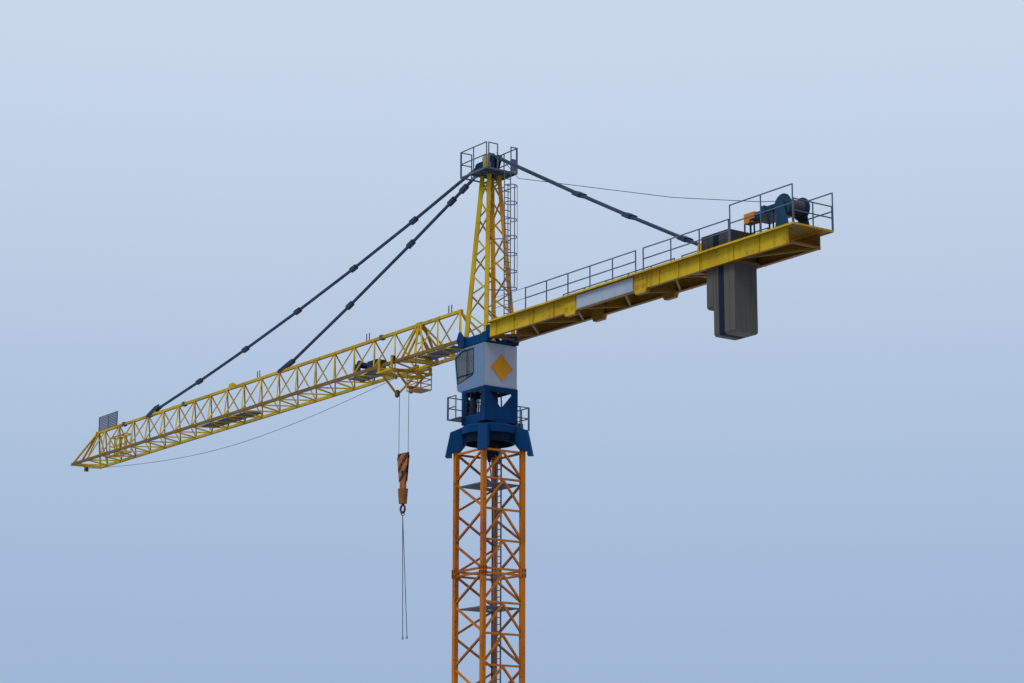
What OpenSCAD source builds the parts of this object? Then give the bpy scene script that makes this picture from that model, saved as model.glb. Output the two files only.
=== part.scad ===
// Tower crane with a triangular lattice jib, at half size. Millimetres, +Z up.
// The mast axis is Z, the jib points along -X and the counter-jib along +X.

/* [Mast] */
// width over the corner posts
mast_w = 1150; // [800:10:1600]
// side of a square corner post
post_s = 100; // [60:2:160]
// height of one bay of bracing
bay_h = 680; // [400:10:1000]
// bays in one mast section
section_bays = 4; // [2:1:8]
// sections in the mast
sections = 3; // [1:1:8]
// side of a bracing tube of the mast
mast_brace = 44; // [20:1:80]
// how far a splice collar stands out of its post
collar_out = 14; // [4:1:40]
// half the height of a splice collar
collar_h = 100; // [40:5:200]

/* [Base] */
// height of the base frame
base_h = 90; // [50:5:200]
// width of a base beam
base_beam = 160; // [80:10:300]
// reach of a foot plate inwards from the post axis
foot_in = 170; // [100:5:300]
// edge of a foot plate outside its anchor hole
foot_edge = 55; // [25:5:120]
// anchor hole radius
anchor_r = 17; // [8:1:30]
// distance between the anchor holes at the outer corners
anchor_span = 1280; // [900:10:1800]

/* [Mast access] */
// width over the ladder stiles
ladder_w = 232; // [150:2:400]
// distance between rungs
rung_gap = 150; // [100:5:200]
// width of a ladder stile
stile_s = 16; // [8:1:40]
// ladder centre across the mast
ladder_x = -120; // [-300:5:300]
// ladder plane towards the far side
ladder_y = 330; // [100:5:420]
// bays from a section's top down to its platform
platform_drop = 1.16; // [0.5:0.01:3]
// thickness of a rest platform
platform_t = 24; // [10:1:60]
// reach of a platform past the posts' inner faces
platform_out = 25; // [5:1:60]
// length of the hatch in front of the ladder
hatch_l = 340; // [200:10:500]

/* [Slewing support] */
// outer radius of the drum under the slewing ring
support_r = 625; // [500:5:680]
// height of the drum's skirt
support_h = 190; // [100:5:300]
// radius of the drum's lower part
barrel_low_r = 565; // [400:5:600]
// height of that part under the skirt
barrel_low_h = 190; // [50:5:300]
// bevel along the drum's upper rim
support_rim = 30; // [5:1:60]
// plate thickness of the drum
support_t = 30; // [10:1:60]
// top of the drum over the mast top
support_rise = 550; // [300:5:700]
// outer reach of a corner claw along the diagonal
claw_reach = 985; // [900:5:1300]
// reach of a claw at its upper corner
claw_top = 870; // [700:5:1200]
// fall from the drum's top to that corner
claw_fall = 105; // [0:5:150]
// width of a corner claw
claw_w = 210; // [100:5:400]
// fall of a claw's tab below the mast top
claw_drop = 108; // [20:2:200]
// gap between a post and the tab
claw_gap = 50; // [20:2:120]
// radius of the slewing ring
ring_r = 470; // [300:5:600]
// radius of the way through the slewing ring
way_r = 330; // [200:5:400]
// height of one half of the slewing ring
ring_h = 30; // [15:1:60]
// gap between the two halves of the slewing ring
ring_gap = 0.3; // [0.1:0.1:20]

/* [Turntable] */
// half width of the turntable box
turn_half = 450; // [350:5:600]
// height of the turntable box
turn_h = 190; // [150:5:500]
// side of a turntable column
column_s = 110; // [60:5:200]
// thickness of the end plates
end_t = 30; // [10:1:60]
// half width of the three-sided opening in an end plate
gap_half = 317; // [150:5:320]
// depth of that opening
gap_depth = 360; // [150:5:420]
// height of the beams under the cab
header_h = 120; // [60:5:200]
// floor plates and toe plates of the walkways
walk_t = 15; // [6:1:30]
// width of the walkway on the jib side
walk_w = 350; // [200:10:600]
// level of that walkway under the top of the turntable
walk_drop = 25; // [0:5:150]
// width of the strip in front of the near face
strip_w = 160; // [80:10:400]
// width of the far walkway
far_walk_w = 550; // [300:10:800]
// where the far walkway begins and ends along the crane
far_walk_x0 = -450; // [-450:10:0]
far_walk_x1 = 150; // [50:10:450]
// height of a walkway's rail
walk_rail = 520; // [300:10:700]
// radius of a slewing gearbox
gear_r = 85; // [50:5:130]
// radius of a slewing motor
motor_r = 70; // [40:5:120]
// distance between the slewing drives
drive_span = 400; // [250:10:560]
// slewing drives behind the near face
drive_y = 310; // [250:5:330]

/* [Cab] */
// level of the cab floor
cab_z = 9640; // [9000:10:10500]
// height of the cab at its rear wall
cab_h = 985; // [700:5:1300]
// fall of the roof to its slope
roof_fall = 10; // [0:5:100]
// rear wall of the cab
cab_rear = 420; // [300:5:600]
// front of the cab at the floor
cab_front = 640; // [400:5:900]
// how far the windscreen leans out
screen_lean = 118; // [0:5:200]
// how far the floor rises towards the front
floor_rise = 50; // [0:5:150]
// height of its foremost line over the floor
brow_up = 850; // [700:5:900]
// where the roof begins to slope to that line
brow_x = -438; // [-600:2:-300]
// half width of the cab
cab_half = 445; // [300:5:600]
// wall thickness of the cab
cab_t = 20; // [8:1:40]
// rear edge of the side windows
pane_rear = 10; // [-300:5:200]
// lower rear corner of the side windows over the floor
pane_up = 310; // [150:5:500]
// lower front corner of the side windows over the floor
pane_front_up = 185; // [80:5:400]
// radius of the lower rear corner
pane_r = 90; // [20:5:150]
// wall left over the windows
pane_top = 55; // [20:5:200]
// thickness of the panes
pane_t = 8; // [4:1:20]
// wall left round the windscreen
screen_edge = 40; // [15:5:100]
// upright bar in a side window
mullion_x = -255; // [-500:5:-100]
// level bar in a side window over the floor
mullion_up = 350; // [200:5:600]
// width of these bars
mullion_w = 16; // [8:1:40]
// side of a post inside the cab
inner_post = 70; // [40:5:100]
// width of the cab door
door_w = 270; // [200:5:350]
// height of the cab door
door_h = 840; // [600:10:900]
// how far the door stands out
door_t = 8; // [3:1:20]

/* [Head] */
// level of the head frame's underside
frame_z = 10640; // [10000:10:11500]
// height of the corner blocks of the head frame
frame_h = 230; // [100:5:400]
// height of its ring beams
beam_h = 200; // [80:5:220]
// half width of the head frame
frame_half = 440; // [300:5:600]
// width of a ring beam
beam_w = 100; // [40:5:120]
// side of a corner block
corner_s = 120; // [100:5:160]
// bars of the head frame's cross trusses
frame_bar = 36; // [20:2:60]
// top of the cheeks over the corner blocks
cheek_up = 130; // [60:5:250]
// thickness of a cheek
cheek_t = 16; // [8:1:30]
// length of a cheek past the corner blocks
cheek_out = 90; // [40:5:200]
// radius of a pin head
pin_r = 26; // [12:1:50]
// half spacing of the head legs at their feet
foot_half = 380; // [250:5:500]
// half spacing of the head legs at the cap
cap_half = 135; // [80:5:300]
// level of the cap's underside
cap_z = 14640; // [13000:50:16000]
// side of a head leg
leg_s = 92; // [30:2:120]
// side of a bracing tube of the head
head_brace = 30; // [15:1:60]
// bays of bracing in the head
head_bays = 8; // [4:1:12]
// half width of the cap block
block_half = 185; // [120:5:300]
// height of the cap block
block_h = 150; // [80:5:250]
// height of the yellow plates on the cap
plate_h = 360; // [200:5:500]
// half width of these plates
plate_half = 130; // [80:5:200]
// radius of a head sheave
head_sheave_r = 105; // [60:5:160]
// width of a head sheave
head_sheave_w = 24; // [12:2:60]
// reach of the stay bracket to the jib side
bracket_x = 560; // [400:10:800]
// where the jib stays end at the head
stay_end_x = 500; // [400:10:700]
// height of the outer stay's end over the cap's underside
outer_end_up = 350; // [250:5:480]
// height of the inner stay's end over it
inner_end_up = 190; // [100:5:300]
// where the counter-jib stays end at the head
tail_end_x = 245; // [200:5:400]
// height of that end over the cap's underside
tail_end_up = 400; // [250:5:480]
// half spacing of the counter-jib stays at the head
tail_end_y = 60; // [40:2:100]

/* [Head access] */
// jib side edge of the head platform
deck_x0 = -550; // [-700:10:-400]
// counter-jib side edge
deck_x1 = 500; // [400:10:700]
// near edge
deck_y0 = -475; // [-600:5:-350]
// far edge
deck_y1 = 400; // [300:5:500]
// height of the head rail
head_rail = 600; // [400:10:700]
// frame bar of the head platform
deck_bar = 30; // [15:1:60]
// centre of the head ladder across the head
head_ladder_y = 108; // [50:2:250]
// lowest rung of the head ladder over the head frame
head_ladder_up = 300; // [100:10:1500]
// radius of a cage hoop
hoop_r = 150; // [110:5:260]
// bar of a cage hoop
hoop_s = 10; // [6:1:20]
// distance between hoops
hoop_gap = 400; // [250:10:700]
// near and far end of the gap in the rail at the ladder
gate_y0 = -150; // [-300:5:-60]
gate_y1 = 205; // [200:5:300]
// width of the head ladder
head_ladder_w = 186; // [120:2:190]
// distance between its rungs
head_rung_gap = 150; // [100:5:300]

/* [Jib] */
// level of the bottom chord axes
jib_z = 10820; // [10000:10:12000]
// height of the top chord axis above the bottom chords
jib_h = 880; // [500:10:1500]
// half the distance between the bottom chords
jib_half = 450; // [300:5:700]
// bay length
jib_bay = 915; // [500:5:1500]
// number of bays
jib_bays = 22; // [6:1:30]
// where the jib begins
jib_root = 500; // [450:5:700]
// side of a chord
chord_s = 70; // [40:1:120]
// side of a bracing tube of the jib
jib_brace = 32; // [15:1:60]
// share of a bay from a near node to a top node
top_shift = 0.75; // [0.5:0.05:1]
// share of a bay from a near node to the next far node
far_shift = 0.5; // [0:0.05:0.75]
// where the heavy section joint lies
joint_x = 2850; // [1500:10:6000]
// half length of that joint
joint_half = 115; // [60:5:300]
// side of the joint's posts
joint_post = 46; // [30:2:80]
// plate outside a chord at a joint
joint_plate = 14; // [6:1:30]
// how far the top chord ends before the last bay
tip_back = 670; // [300:5:900]
// length of the nose past the last bay
nose_l = 90; // [40:5:300]
// side of the bars down to the nose
nose_bar = 44; // [25:1:70]

/* [Jib stays] */
// where the outer stay meets the top chord
outer_stay_x = 16300; // [8000:50:19000]
// where the inner stay leaves its fork
inner_stay_x = 8735; // [3000:5:16000]
// length of the fork below it
fork_l = 700; // [400:10:1200]
// height of the fork's upper end over the chord axis
fork_up = 175; // [100:5:300]
// height of that end over the chord axis
lug_up = 105; // [60:5:300]
// side of a stay bar
stay_s = 54; // [20:2:66]
// half length of a coupling
link_l = 130; // [80:5:400]
// half depth of a coupling
link_h = 44; // [30:1:90]
// thickness of a lug plate
lug_t = 14; // [8:1:30]
// how much the outer stay sags in its middle
outer_sag = 215; // [0:5:500]
// shares of the outer stay where its couplings lie
outer_links = [0.16, 0.32, 0.49, 0.66, 0.83];
// how much the inner stay sags in its middle
inner_sag = 60; // [0:5:300]
// shares of the inner stay where its couplings lie
inner_links = [0.33, 0.66, 0.87, 0.93];

/* [Jib access] */
// places of the clamps on the top chord
clamps = [4500, 14600, 18250];
// places of the pairs of rods on the top chord
rods = [1600, 5150, 10500];
// height of the rods
rod_h = 190; // [80:5:400]
// place of the raised lifting lug
lift_x = 11850; // [9000:10:13000]
// length of the slatted board over the tip
board_l = 1200; // [600:10:2000]
// height of that board
board_h = 430; // [200:10:700]
// slats in the board
slats = 9; // [4:1:14]
// thickness of the board
board_t = 24; // [10:1:40]
// length of the maintenance cage
cage_l = 1000; // [500:10:1600]
// distance from the end of the top chord to the cage
cage_off = 1000; // [500:10:3000]
// height of the cage
cage_h = 560; // [300:10:570]
// width of the cage
cage_w = 240; // [150:10:260]
// bar of the cage
cage_bar = 30; // [15:1:50]
// thickness of a grating
grate_t = 16; // [8:1:30]
// where the outer grating begins and ends
grate_x0 = 10600; // [8000:50:19000]
grate_x1 = 13250; // [9000:50:19500]
// where the inner grating begins and ends
root_grate_x0 = 1100; // [600:50:3000]
root_grate_x1 = 2650; // [1500:50:6000]
// width of a clamp block on the top chord
clamp_l = 120; // [60:5:300]
// how far a clamp stands off the chord
clamp_out = 22; // [10:1:60]

/* [Trolley winch] */
// middle of the trolley winch along the jib
winch_x = 5050; // [3000:10:9000]
// length of the winch's floor plate
winch_l = 1250; // [700:10:1800]
// radius of the trolley drum
tdrum_r = 110; // [60:5:180]
// half length of the trolley drum
tdrum_half = 170; // [80:5:300]
// height of the trolley drum's axis over its floor
tdrum_up = 310; // [150:5:330]
// radius of a top chord rod
haul_d = 10; // [6:1:20]

/* [Counter-jib] */
// level of the girder undersides
girder_z = 10710; // [10000:5:12000]
// depth of a girder
girder_h = 300; // [200:5:400]
// half the distance over the girder webs
girder_half = 410; // [300:5:800]
// width of a girder flange
flange_w = 90; // [40:5:160]
// plate thickness of a girder
plate_t = 16; // [6:1:30]
// where the girders begin
girder_root = 500; // [450:5:700]
// where the girders end
girder_end = 10315; // [6000:5:14000]
// length of the doubler at the root
doubler_l = 285; // [100:5:600]
// middle of the inner girder joint
splice1_x = 3525; // [2000:5:5000]
// middle of the outer girder joint
splice2_x = 5900; // [4000:5:8000]
// half length of a girder joint
splice_half = 200; // [100:5:400]
// how far a joint block reaches below the girder
splice_drop = 85; // [30:5:150]
// thickness of a joint block outside the web
splice_t = 20; // [8:1:60]
// half width of the deck
deck_half = 525; // [440:5:800]
// thickness of the deck
deck_t = 40; // [20:2:80]
// how far the deck reaches past the girders
deck_past = 260; // [50:5:600]
// height of the guard rail over the deck
rail_h = 475; // [300:5:700]
// tube of a guard rail
rail_s = 20; // [8:1:40]
// distance between rail posts
rail_gap = 750; // [300:10:1500]
// where the rails begin
rail_x0 = 2050; // [800:10:4000]
// gap in the rails
gate_x0 = 5875; // [5000:5:7000]
gate_x1 = 6100; // [5100:5:7500]
// where the raised rails begin
high_x = 8750; // [7000:10:10000]
// how much higher they are
high_up = 275; // [100:5:500]
// side of a bracing tube between the girders
deck_brace = 44; // [20:2:80]
// bays of bracing between the girders
deck_bays = 9; // [4:1:16]
// where the counter-jib stays meet the girders
tail_stay_x = 7390; // [5000:10:9000]
// height of their pins over the deck
tail_up = 300; // [100:5:400]
// shares of such a stay where its couplings lie
tail_links = [0.43, 0.67, 0.92];
// how much a counter-jib stay sags in its middle
tail_sag = 40; // [0:5:300]

/* [Counterweight] */
// first face of the long slabs
weight_x = 8005; // [5000:5:10500]
// thickness of one slab
slab_t = 150; // [80:5:400]
// gap between slabs
slab_gap = 8; // [5:1:40]
// number of long slabs
slabs = 4; // [2:1:8]
// half width of a slab
slab_half = 292; // [200:2:310]
// level of the long slabs' undersides
slab_z = 9340; // [8000:5:10500]
// thickness of the short slab
short_t = 190; // [80:5:400]
// level of the short slab's underside
short_z = 9920; // [8500:5:10600]
// gap between the short slab and the long ones
short_gap = 12; // [5:1:60]
// height of the shoulders over the deck
shoulder_h = 325; // [60:5:400]
// bevel at the lower edge of a slab
slab_bevel = 40; // [10:5:100]

/* [Hoist winch] */
// centre of the hoist drum
drum_x = 10000; // [7000:10:12000]
// height of the drum axis over the deck
drum_up = 500; // [200:10:800]
// radius of a drum flange
flange_r = 230; // [100:5:400]
// radius of the wound drum
barrel_r = 135; // [60:5:300]
// half length of the drum
drum_half = 240; // [100:5:400]
// thickness of a drum flange
barrel_out = 24; // [10:1:60]
// thickness of a bearing stand
stand_t = 24; // [10:1:60]
// length of the hoist gearbox and motor
hoist_l = 680; // [300:10:760]
// radius of the hoist motor
hoist_r = 105; // [60:5:160]
// level of the machine frame over the deck
machine_up = 440; // [100:10:500]
// first face of the covered brake resistor
cover_x = 8710; // [8650:5:8800]
// length of its cover
cover_l = 300; // [200:10:420]
// height of its cover
cover_h = 200; // [80:5:300]
// half width of its cover
cover_half = 90; // [60:5:200]
// height of its cover over the machine frame's level
cover_lift = 0; // [0:5:200]

/* [Trolley and hook] */
// where the trolley stands along the jib
trolley_x = 3500; // [2000:10:19000]
// half length of the trolley
trolley_half = 330; // [200:5:600]
// bar of the trolley frame
trolley_bar = 44; // [25:1:70]
// distance between the two rope falls
fall_gap = 400; // [200:5:700]
// level of the trolley frame under the bottom chords
trolley_drop = 130; // [60:5:200]
// gap between a bottom chord and the wheel hangers
hanger_gap = 45; // [36:1:80]
// plate thickness in the trolley
trolley_plate = 12; // [6:1:30]
// level of the sheaves in the trolley under the bottom chords
sheave_drop = 585; // [300:5:700]
// radius of a trolley sheave
sheave_r = 95; // [50:5:140]
// width of a sheave
sheave_w = 26; // [14:2:60]
// half the gap between sheave plates
sheave_gap = 15; // [13:1:50]
// length of the working basket beside the trolley
basket_l = 460; // [300:10:900]
// gap between the trolley and the basket
basket_off = 75; // [70:5:200]
// height of the basket
basket_h = 500; // [300:10:600]
// half width of the basket
basket_half = 205; // [120:5:300]
// radius of a trolley wheel
wheel_r = 55; // [30:1:100]
// running gap under a wheel and round the hook shank
run_gap = 0.3; // [0.1:0.1:5]
// width of the tread that a wheel runs on
tread_w = 12; // [8:1:30]
// width of a wheel
wheel_w = 32; // [16:1:60]
// radius of a wheel axle
axle_r = 14; // [8:1:30]
// level of the top of the hook block
block_z = 8725; // [4000:5:9800]
// height of the block cheeks
cheek_h = 685; // [300:5:1000]
// half width of the cheeks at the top
cheek_top = 222; // [200:5:400]
// half width of the cheeks at the bottom
cheek_foot = 140; // [60:5:250]
// radius of the cheeks' upper corners
cheek_r = 110; // [40:5:200]
// half the gap between the cheeks
cheek_gap = 20; // [15:1:60]
// thickness of a cheek plate
cheek_plate = 9; // [8:1:30]
// radius of the block sheaves
block_sheave_r = 92; // [60:2:112]
// height of the neck under the cheeks
neck_h = 165; // [60:5:300]
// half width of the neck
neck_half = 85; // [30:1:100]
// height of the block weight
load_h = 350; // [150:5:600]
// radius of the weight at its top
load_top = 122; // [80:5:250]
// radius of the weight at its foot
load_foot = 95; // [60:5:200]
// half depth of the neck
neck_t = 40; // [20:5:80]
// radius of the hook shank
shank_r = 30; // [15:1:60]
// how deep the shank sits in the weight
shank_in = 80; // [40:5:200]
// radius of the hook's bowl to the middle of its bar
bowl_r = 90; // [50:5:150]
// half thickness of the hook's bar at the bowl
hook_s = 26; // [14:1:40]
// distance from the weight to the centre of the bowl
bowl_drop = 125; // [100:5:300]
// rope thickness
rope_d = 12; // [6:1:30]
// length of a sling leg
sling_l = 2820; // [500:10:4000]
// how far the feet of the sling legs hang out along the jib
sling_feet = [70, 250];
// thickness of a sling leg
sling_d = 16; // [8:1:30]
// half width of the sling's master link
link_w = 58; // [40:1:80]
// bar of the master link
link_d = 18; // [10:1:30]

/* [Hidden] */
yellow = [0.86, 0.66, 0.1];
orange = [0.86, 0.55, 0.12];
blue = [0.1, 0.24, 0.5];
grey = [0.3, 0.31, 0.32];
slate = [0.2, 0.22, 0.28];
tiny = 0.01;
post_c = (mast_w - post_s) / 2;
post_in = mast_w / 2 - post_s;
section_h = bay_h * section_bays;
mast_top = base_h + section_h * sections;
support_top = mast_top + support_rise;
turn_z = support_top + ring_h + ring_gap;
turn_top = turn_z + ring_h + turn_h;
frame_top = frame_z + frame_h;
jib_top = jib_z + jib_h;
jib_under = jib_z - chord_s / 2;
deck_z = girder_z + girder_h;
deck_top = deck_z + deck_t;
jib_end = jib_root + jib_bay * jib_bays;
top_end = jib_end - tip_back;
link_half = chord_s / 2;
short_x = weight_x - short_gap - short_t;
block_top = cap_z + block_h;
foot_out = anchor_span / 2 + foot_edge;
post_x = foot_half - 30;
weight_end = weight_x + slabs * (slab_t + slab_gap) - slab_gap;

// Straight member with n flat sides from a to b, s across the flats
module bar(a, b, s, n = 4) {
  v = b - a;
  l = norm(v);
  translate(a)
    rotate([0, acos(v[2] / l), atan2(v[1], v[0])])
      rotate([0, 0, 180 / n])
        cylinder(h = l, d = s / cos(180 / n), $fn = n);
}

// Block between two opposite corners, the lower one first
module block(a, b) {
  translate(a) cube(b - a);
}

// Block from x0 to x1 and z0 to z1, y wide to either side
module beam(x0, x1, y, z0, z1) {
  block([x0, -y, z0], [x1, y, z1]);
}

// The same child at the four corners of a square
module corners(h) {
  for (sx = [-1, 1]) for (sy = [-1, 1])
    translate([sx * h, sy * h, 0]) children();
}

// The child and its mirror image across the middle plane of the crane
module both_sides() {
  children();
  mirror([0, 1, 0]) children();
}

// Flat bar in a face drawing, from p to q
module strut(p, q, w) {
  v = q - p;
  translate(p) rotate(atan2(v[1], v[0])) translate([0, -w / 2]) square([norm(v), w]);
}

// Rectangle in a face drawing between two corners, the lower one first
module field(a, b) {
  translate(a) square(b - a);
}

// A face drawing stood up in the XZ plane with its middle at y, t thick, its height along Z
module panel(t, y = 0) {
  translate([0, y + t / 2, 0]) rotate([90, 0, 0]) linear_extrude(t) children();
}

// The same across the crane at x
module cross_panel(t, x) {
  translate([x, 0, 0]) rotate([0, 0, 90]) panel(t) children();
}

// Frame drawing between two corners with bars of width w
module frame_field(a, b, w) {
  difference() {
    field(a, b);
    field(a + [w, w], b - [w, w]);
  }
}

// Ladder drawing of width w between two heights
module ladder_face(w, z0, z1, gap) {
  for (s = [-1, 1]) field([s * (w - stile_s) / 2 - stile_s / 2, z0],
    [s * (w - stile_s) / 2 + stile_s / 2, z1]);
  for (z = [z0 + gap : gap : z1 - stile_s])
    field([-w / 2 + stile_s / 2, z], [w / 2 - stile_s / 2, z + stile_s]);
}

// Rail drawing from x0 to x1 with posts at the ends and between the shares
module rail_face(x0, x1, h, shares) {
  for (k = [0 : shares]) {
    x = x0 + rail_s / 2 + (x1 - x0 - rail_s) * k / shares;
    field([x - rail_s / 2, 0], [x + rail_s / 2, h]);
  }
  for (z = [h / 2, h - rail_s / 2]) field([x0, z - rail_s / 2], [x1, z + rail_s / 2]);
}

// Rails along the crane's axis and across it, standing on z
module rail_along(x0, x1, y, z, h, shares) {
  translate([0, y, z]) panel(rail_s) rail_face(x0, x1, h, shares);
}

module rail_across(y0, y1, x, z, h, shares) {
  translate([x, 0, z]) rotate([0, 0, 90]) panel(rail_s) rail_face(y0, y1, h, shares);
}

module anchor_holes() {
  corners(anchor_span / 2)
    translate([0, 0, -1]) cylinder(h = base_h + 2, r = anchor_r, $fn = 32);
}

module base_frame() {
  color([0.55, 0.45, 0.2])
  difference() {
    union() {
      for (a = [0 : 90 : 270]) rotate([0, 0, a])
        block([post_c - foot_in, post_c - foot_in, 0], [foot_out, foot_out, base_h]);
      for (a = [45, 135]) rotate([0, 0, a])
        translate([-post_c * sqrt(2), -base_beam / 2, 0])
          cube([2 * post_c * sqrt(2), base_beam, base_h]);
    }
    anchor_holes();
  }
}

// Two posts with their splice collars
module posts(sy) {
  for (sx = [-1, 1]) translate([sx * post_c, sy * post_c, 0]) {
    translate([-post_s / 2, -post_s / 2, base_h]) cube([post_s, post_s, mast_top - base_h]);
    if (sections > 1) for (k = [1 : sections - 1])
      translate([-post_s / 2 - collar_out, -post_s / 2 - collar_out, base_h + k * section_h - collar_h])
        cube([post_s + 2 * collar_out, post_s + 2 * collar_out, 2 * collar_h]);
  }
}

// One diagonal per bay, from post axis to post axis
module zigzag(first) {
  for (k = [0 : sections * section_bays - 1]) {
    z = mast_top - k * bay_h;
    s = (k % 2 == 0 ? 1 : -1) * first;
    strut([s * post_c, z - mast_brace], [-s * post_c, z - bay_h + mast_brace / 2], mast_brace);
  }
}

// Inverted V with a level bar in each bay
module chevrons() {
  for (k = [0 : sections * section_bays - 1]) {
    z1 = mast_top - k * bay_h - (k % section_bays == 0 ? collar_h / 2 : 0);
    z0 = mast_top - (k + 1) * bay_h + (k % section_bays == section_bays - 1 ? collar_h / 2 : 0);
    for (s = [-1, 1])
      strut([0, z1 - mast_brace / 2], [s * post_c, z0 + mast_brace / 2], mast_brace);
    if (k % section_bays != 0)
      strut([-post_c, z1], [post_c, z1], mast_brace);
  }
}

// Level bars over and under each splice, at the base and at the top
module level_bars() {
  for (k = [0 : sections]) {
    z = base_h + k * section_h;
    up = k < sections ? [collar_h / 2] : [];
    down = k > 0 ? [-collar_h / 2] : [];
    for (d = concat(up, down))
      strut([-post_c, z + d], [post_c, z + d], mast_brace);
  }
}

// Face drawing of the posts and collars, to trim what ends on them
module post_outline() {
  for (s = [-1, 1]) {
    translate([s * post_c - post_s / 2, 0]) square([post_s, mast_top + 1]);
    if (sections > 1) for (k = [1 : sections - 1])
      translate([s * post_c - post_s / 2 - collar_out, base_h + k * section_h - collar_h])
        square([post_s + 2 * collar_out, 2 * collar_h]);
  }
}

module mast_near_side() {
  color(orange) {
    posts(-1);
    panel(mast_brace, -post_c) {
      zigzag(1);
      level_bars();
    }
  }
}

module mast_far_side() {
  color(orange) {
    posts(1);
    panel(mast_brace, post_c) {
      zigzag(-1);
      level_bars();
    }
  }
}

module mast_jib_side() {
  color(orange)
  cross_panel(mast_brace, -post_c)
    difference() {
      union() {
        zigzag(-1);
        level_bars();
      }
      post_outline();
    }
}

module mast_counter_side() {
  color(orange)
  cross_panel(mast_brace, post_c)
    difference() {
      union() {
        chevrons();
        level_bars();
      }
      post_outline();
    }
}

module mast_ladders() {
  color(grey)
  translate([ladder_x, ladder_y, 0])
    panel(2 * stile_s) ladder_face(ladder_w, base_h, mast_top, rung_gap);
}

module mast_platforms() {
  color(grey)
  for (k = [1 : sections]) {
    z = base_h + k * section_h - platform_drop * bay_h;
    difference() {
      beam(-post_in - platform_out, post_in + platform_out, post_in, z, z + platform_t);
      block([ladder_x - ladder_w / 2, ladder_y + stile_s - hatch_l, z - 1],
        [ladder_x + ladder_w / 2, ladder_y + stile_s, z + platform_t + 1]);
    }
  }
}

// Radial plate from the drum down over a corner post, its tab outside the post
module claw() {
  seat = post_c * sqrt(2) - post_s / 2;
  tab = mast_w / sqrt(2) + claw_gap;
  inside = barrel_low_r - support_t / 2;
  rotate([0, 0, 45]) panel(claw_w)
    polygon([[seat, mast_top], [inside, support_top - support_h - barrel_low_h],
      [inside, support_top - support_t / 2], [support_r - support_rim, support_top],
      [claw_top, support_top - claw_fall], [claw_reach, mast_top - claw_drop], [tab,
        mast_top - claw_drop], [tab, mast_top]]);
}

module slewing_support() {
  color(blue)
  difference() {
    union() {
      translate([0, 0, support_top - support_h]) {
        cylinder(h = support_h - support_rim, r = support_r, $fn = 96);
        translate([0, 0, support_h - support_rim])
          cylinder(h = support_rim, r1 = support_r, r2 = support_r - support_rim, $fn = 96);
        translate([0, 0, -barrel_low_h]) cylinder(h = barrel_low_h + 1, r = barrel_low_r, $fn = 96);
      }
      for (a = [0 : 90 : 270]) rotate([0, 0, a]) claw();
    }
    translate([0, 0, support_top - support_h - barrel_low_h - 1])
      cylinder(h = support_h + barrel_low_h - support_t + 1, r = barrel_low_r - support_t, $fn = 96);
    translate([0, 0, support_top - support_t - 1]) cylinder(h = support_t + 2, r = way_r, $fn = 64);
  }
}

module slewing_ring() {
  color([0.2, 0.21, 0.24])
  translate([0, 0, support_top])
    difference() {
      cylinder(h = ring_h, r = ring_r, $fn = 96);
      translate([0, 0, -1]) cylinder(h = ring_h + 2, r = way_r, $fn = 64);
    }
}

module turntable() {
  color(blue)
  difference() {
    union() {
      translate([0, 0, turn_z]) cylinder(h = ring_h, r = ring_r, $fn = 96);
      beam(-turn_half, turn_half, turn_half, turn_z + ring_h, turn_top);
    }
    translate([0, 0, turn_z - 1]) cylinder(h = turn_h + ring_h + 2, r = way_r, $fn = 64);
  }
}

// End plate across the turntable with a three-sided opening, in a face drawing
module end_plate() {
  difference() {
    field([-turn_half, turn_top], [turn_half, cab_z]);
    polygon([[-gap_half, cab_z - header_h], [gap_half, cab_z - header_h], [0,
      cab_z - header_h - gap_depth]]);
  }
}

module turntable_columns() {
  color(blue) {
    corners(turn_half - column_s / 2)
      translate([-column_s / 2, -column_s / 2, turn_top]) cube([column_s, column_s, cab_z - turn_top]);
    for (sx = [-1, 1])
      cross_panel(end_t, sx * (turn_half - end_t / 2)) end_plate();
    both_sides()
      block([-turn_half, -turn_half, cab_z - header_h / 2], [turn_half, -turn_half + column_s / 2,
        cab_z]);
  }
}

module slewing_drives() {
  color([0.12, 0.14, 0.18])
  for (s = [-1, 1])
    translate([s * drive_span / 2, -drive_y, turn_top]) {
      cylinder(h = gear_r / 3, r = gear_r * 1.3, $fn = 48);
      cylinder(h = gear_r * 2.2, r = gear_r, $fn = 48);
      cylinder(h = gear_r * 2.2 + motor_r * 2.6, r = motor_r, $fn = 48);
      translate([0, 0, gear_r * 2.2 + motor_r * 2.6]) cylinder(h = motor_r / 2, r = motor_r * 1.1,
        $fn = 48);
    }
}

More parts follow.
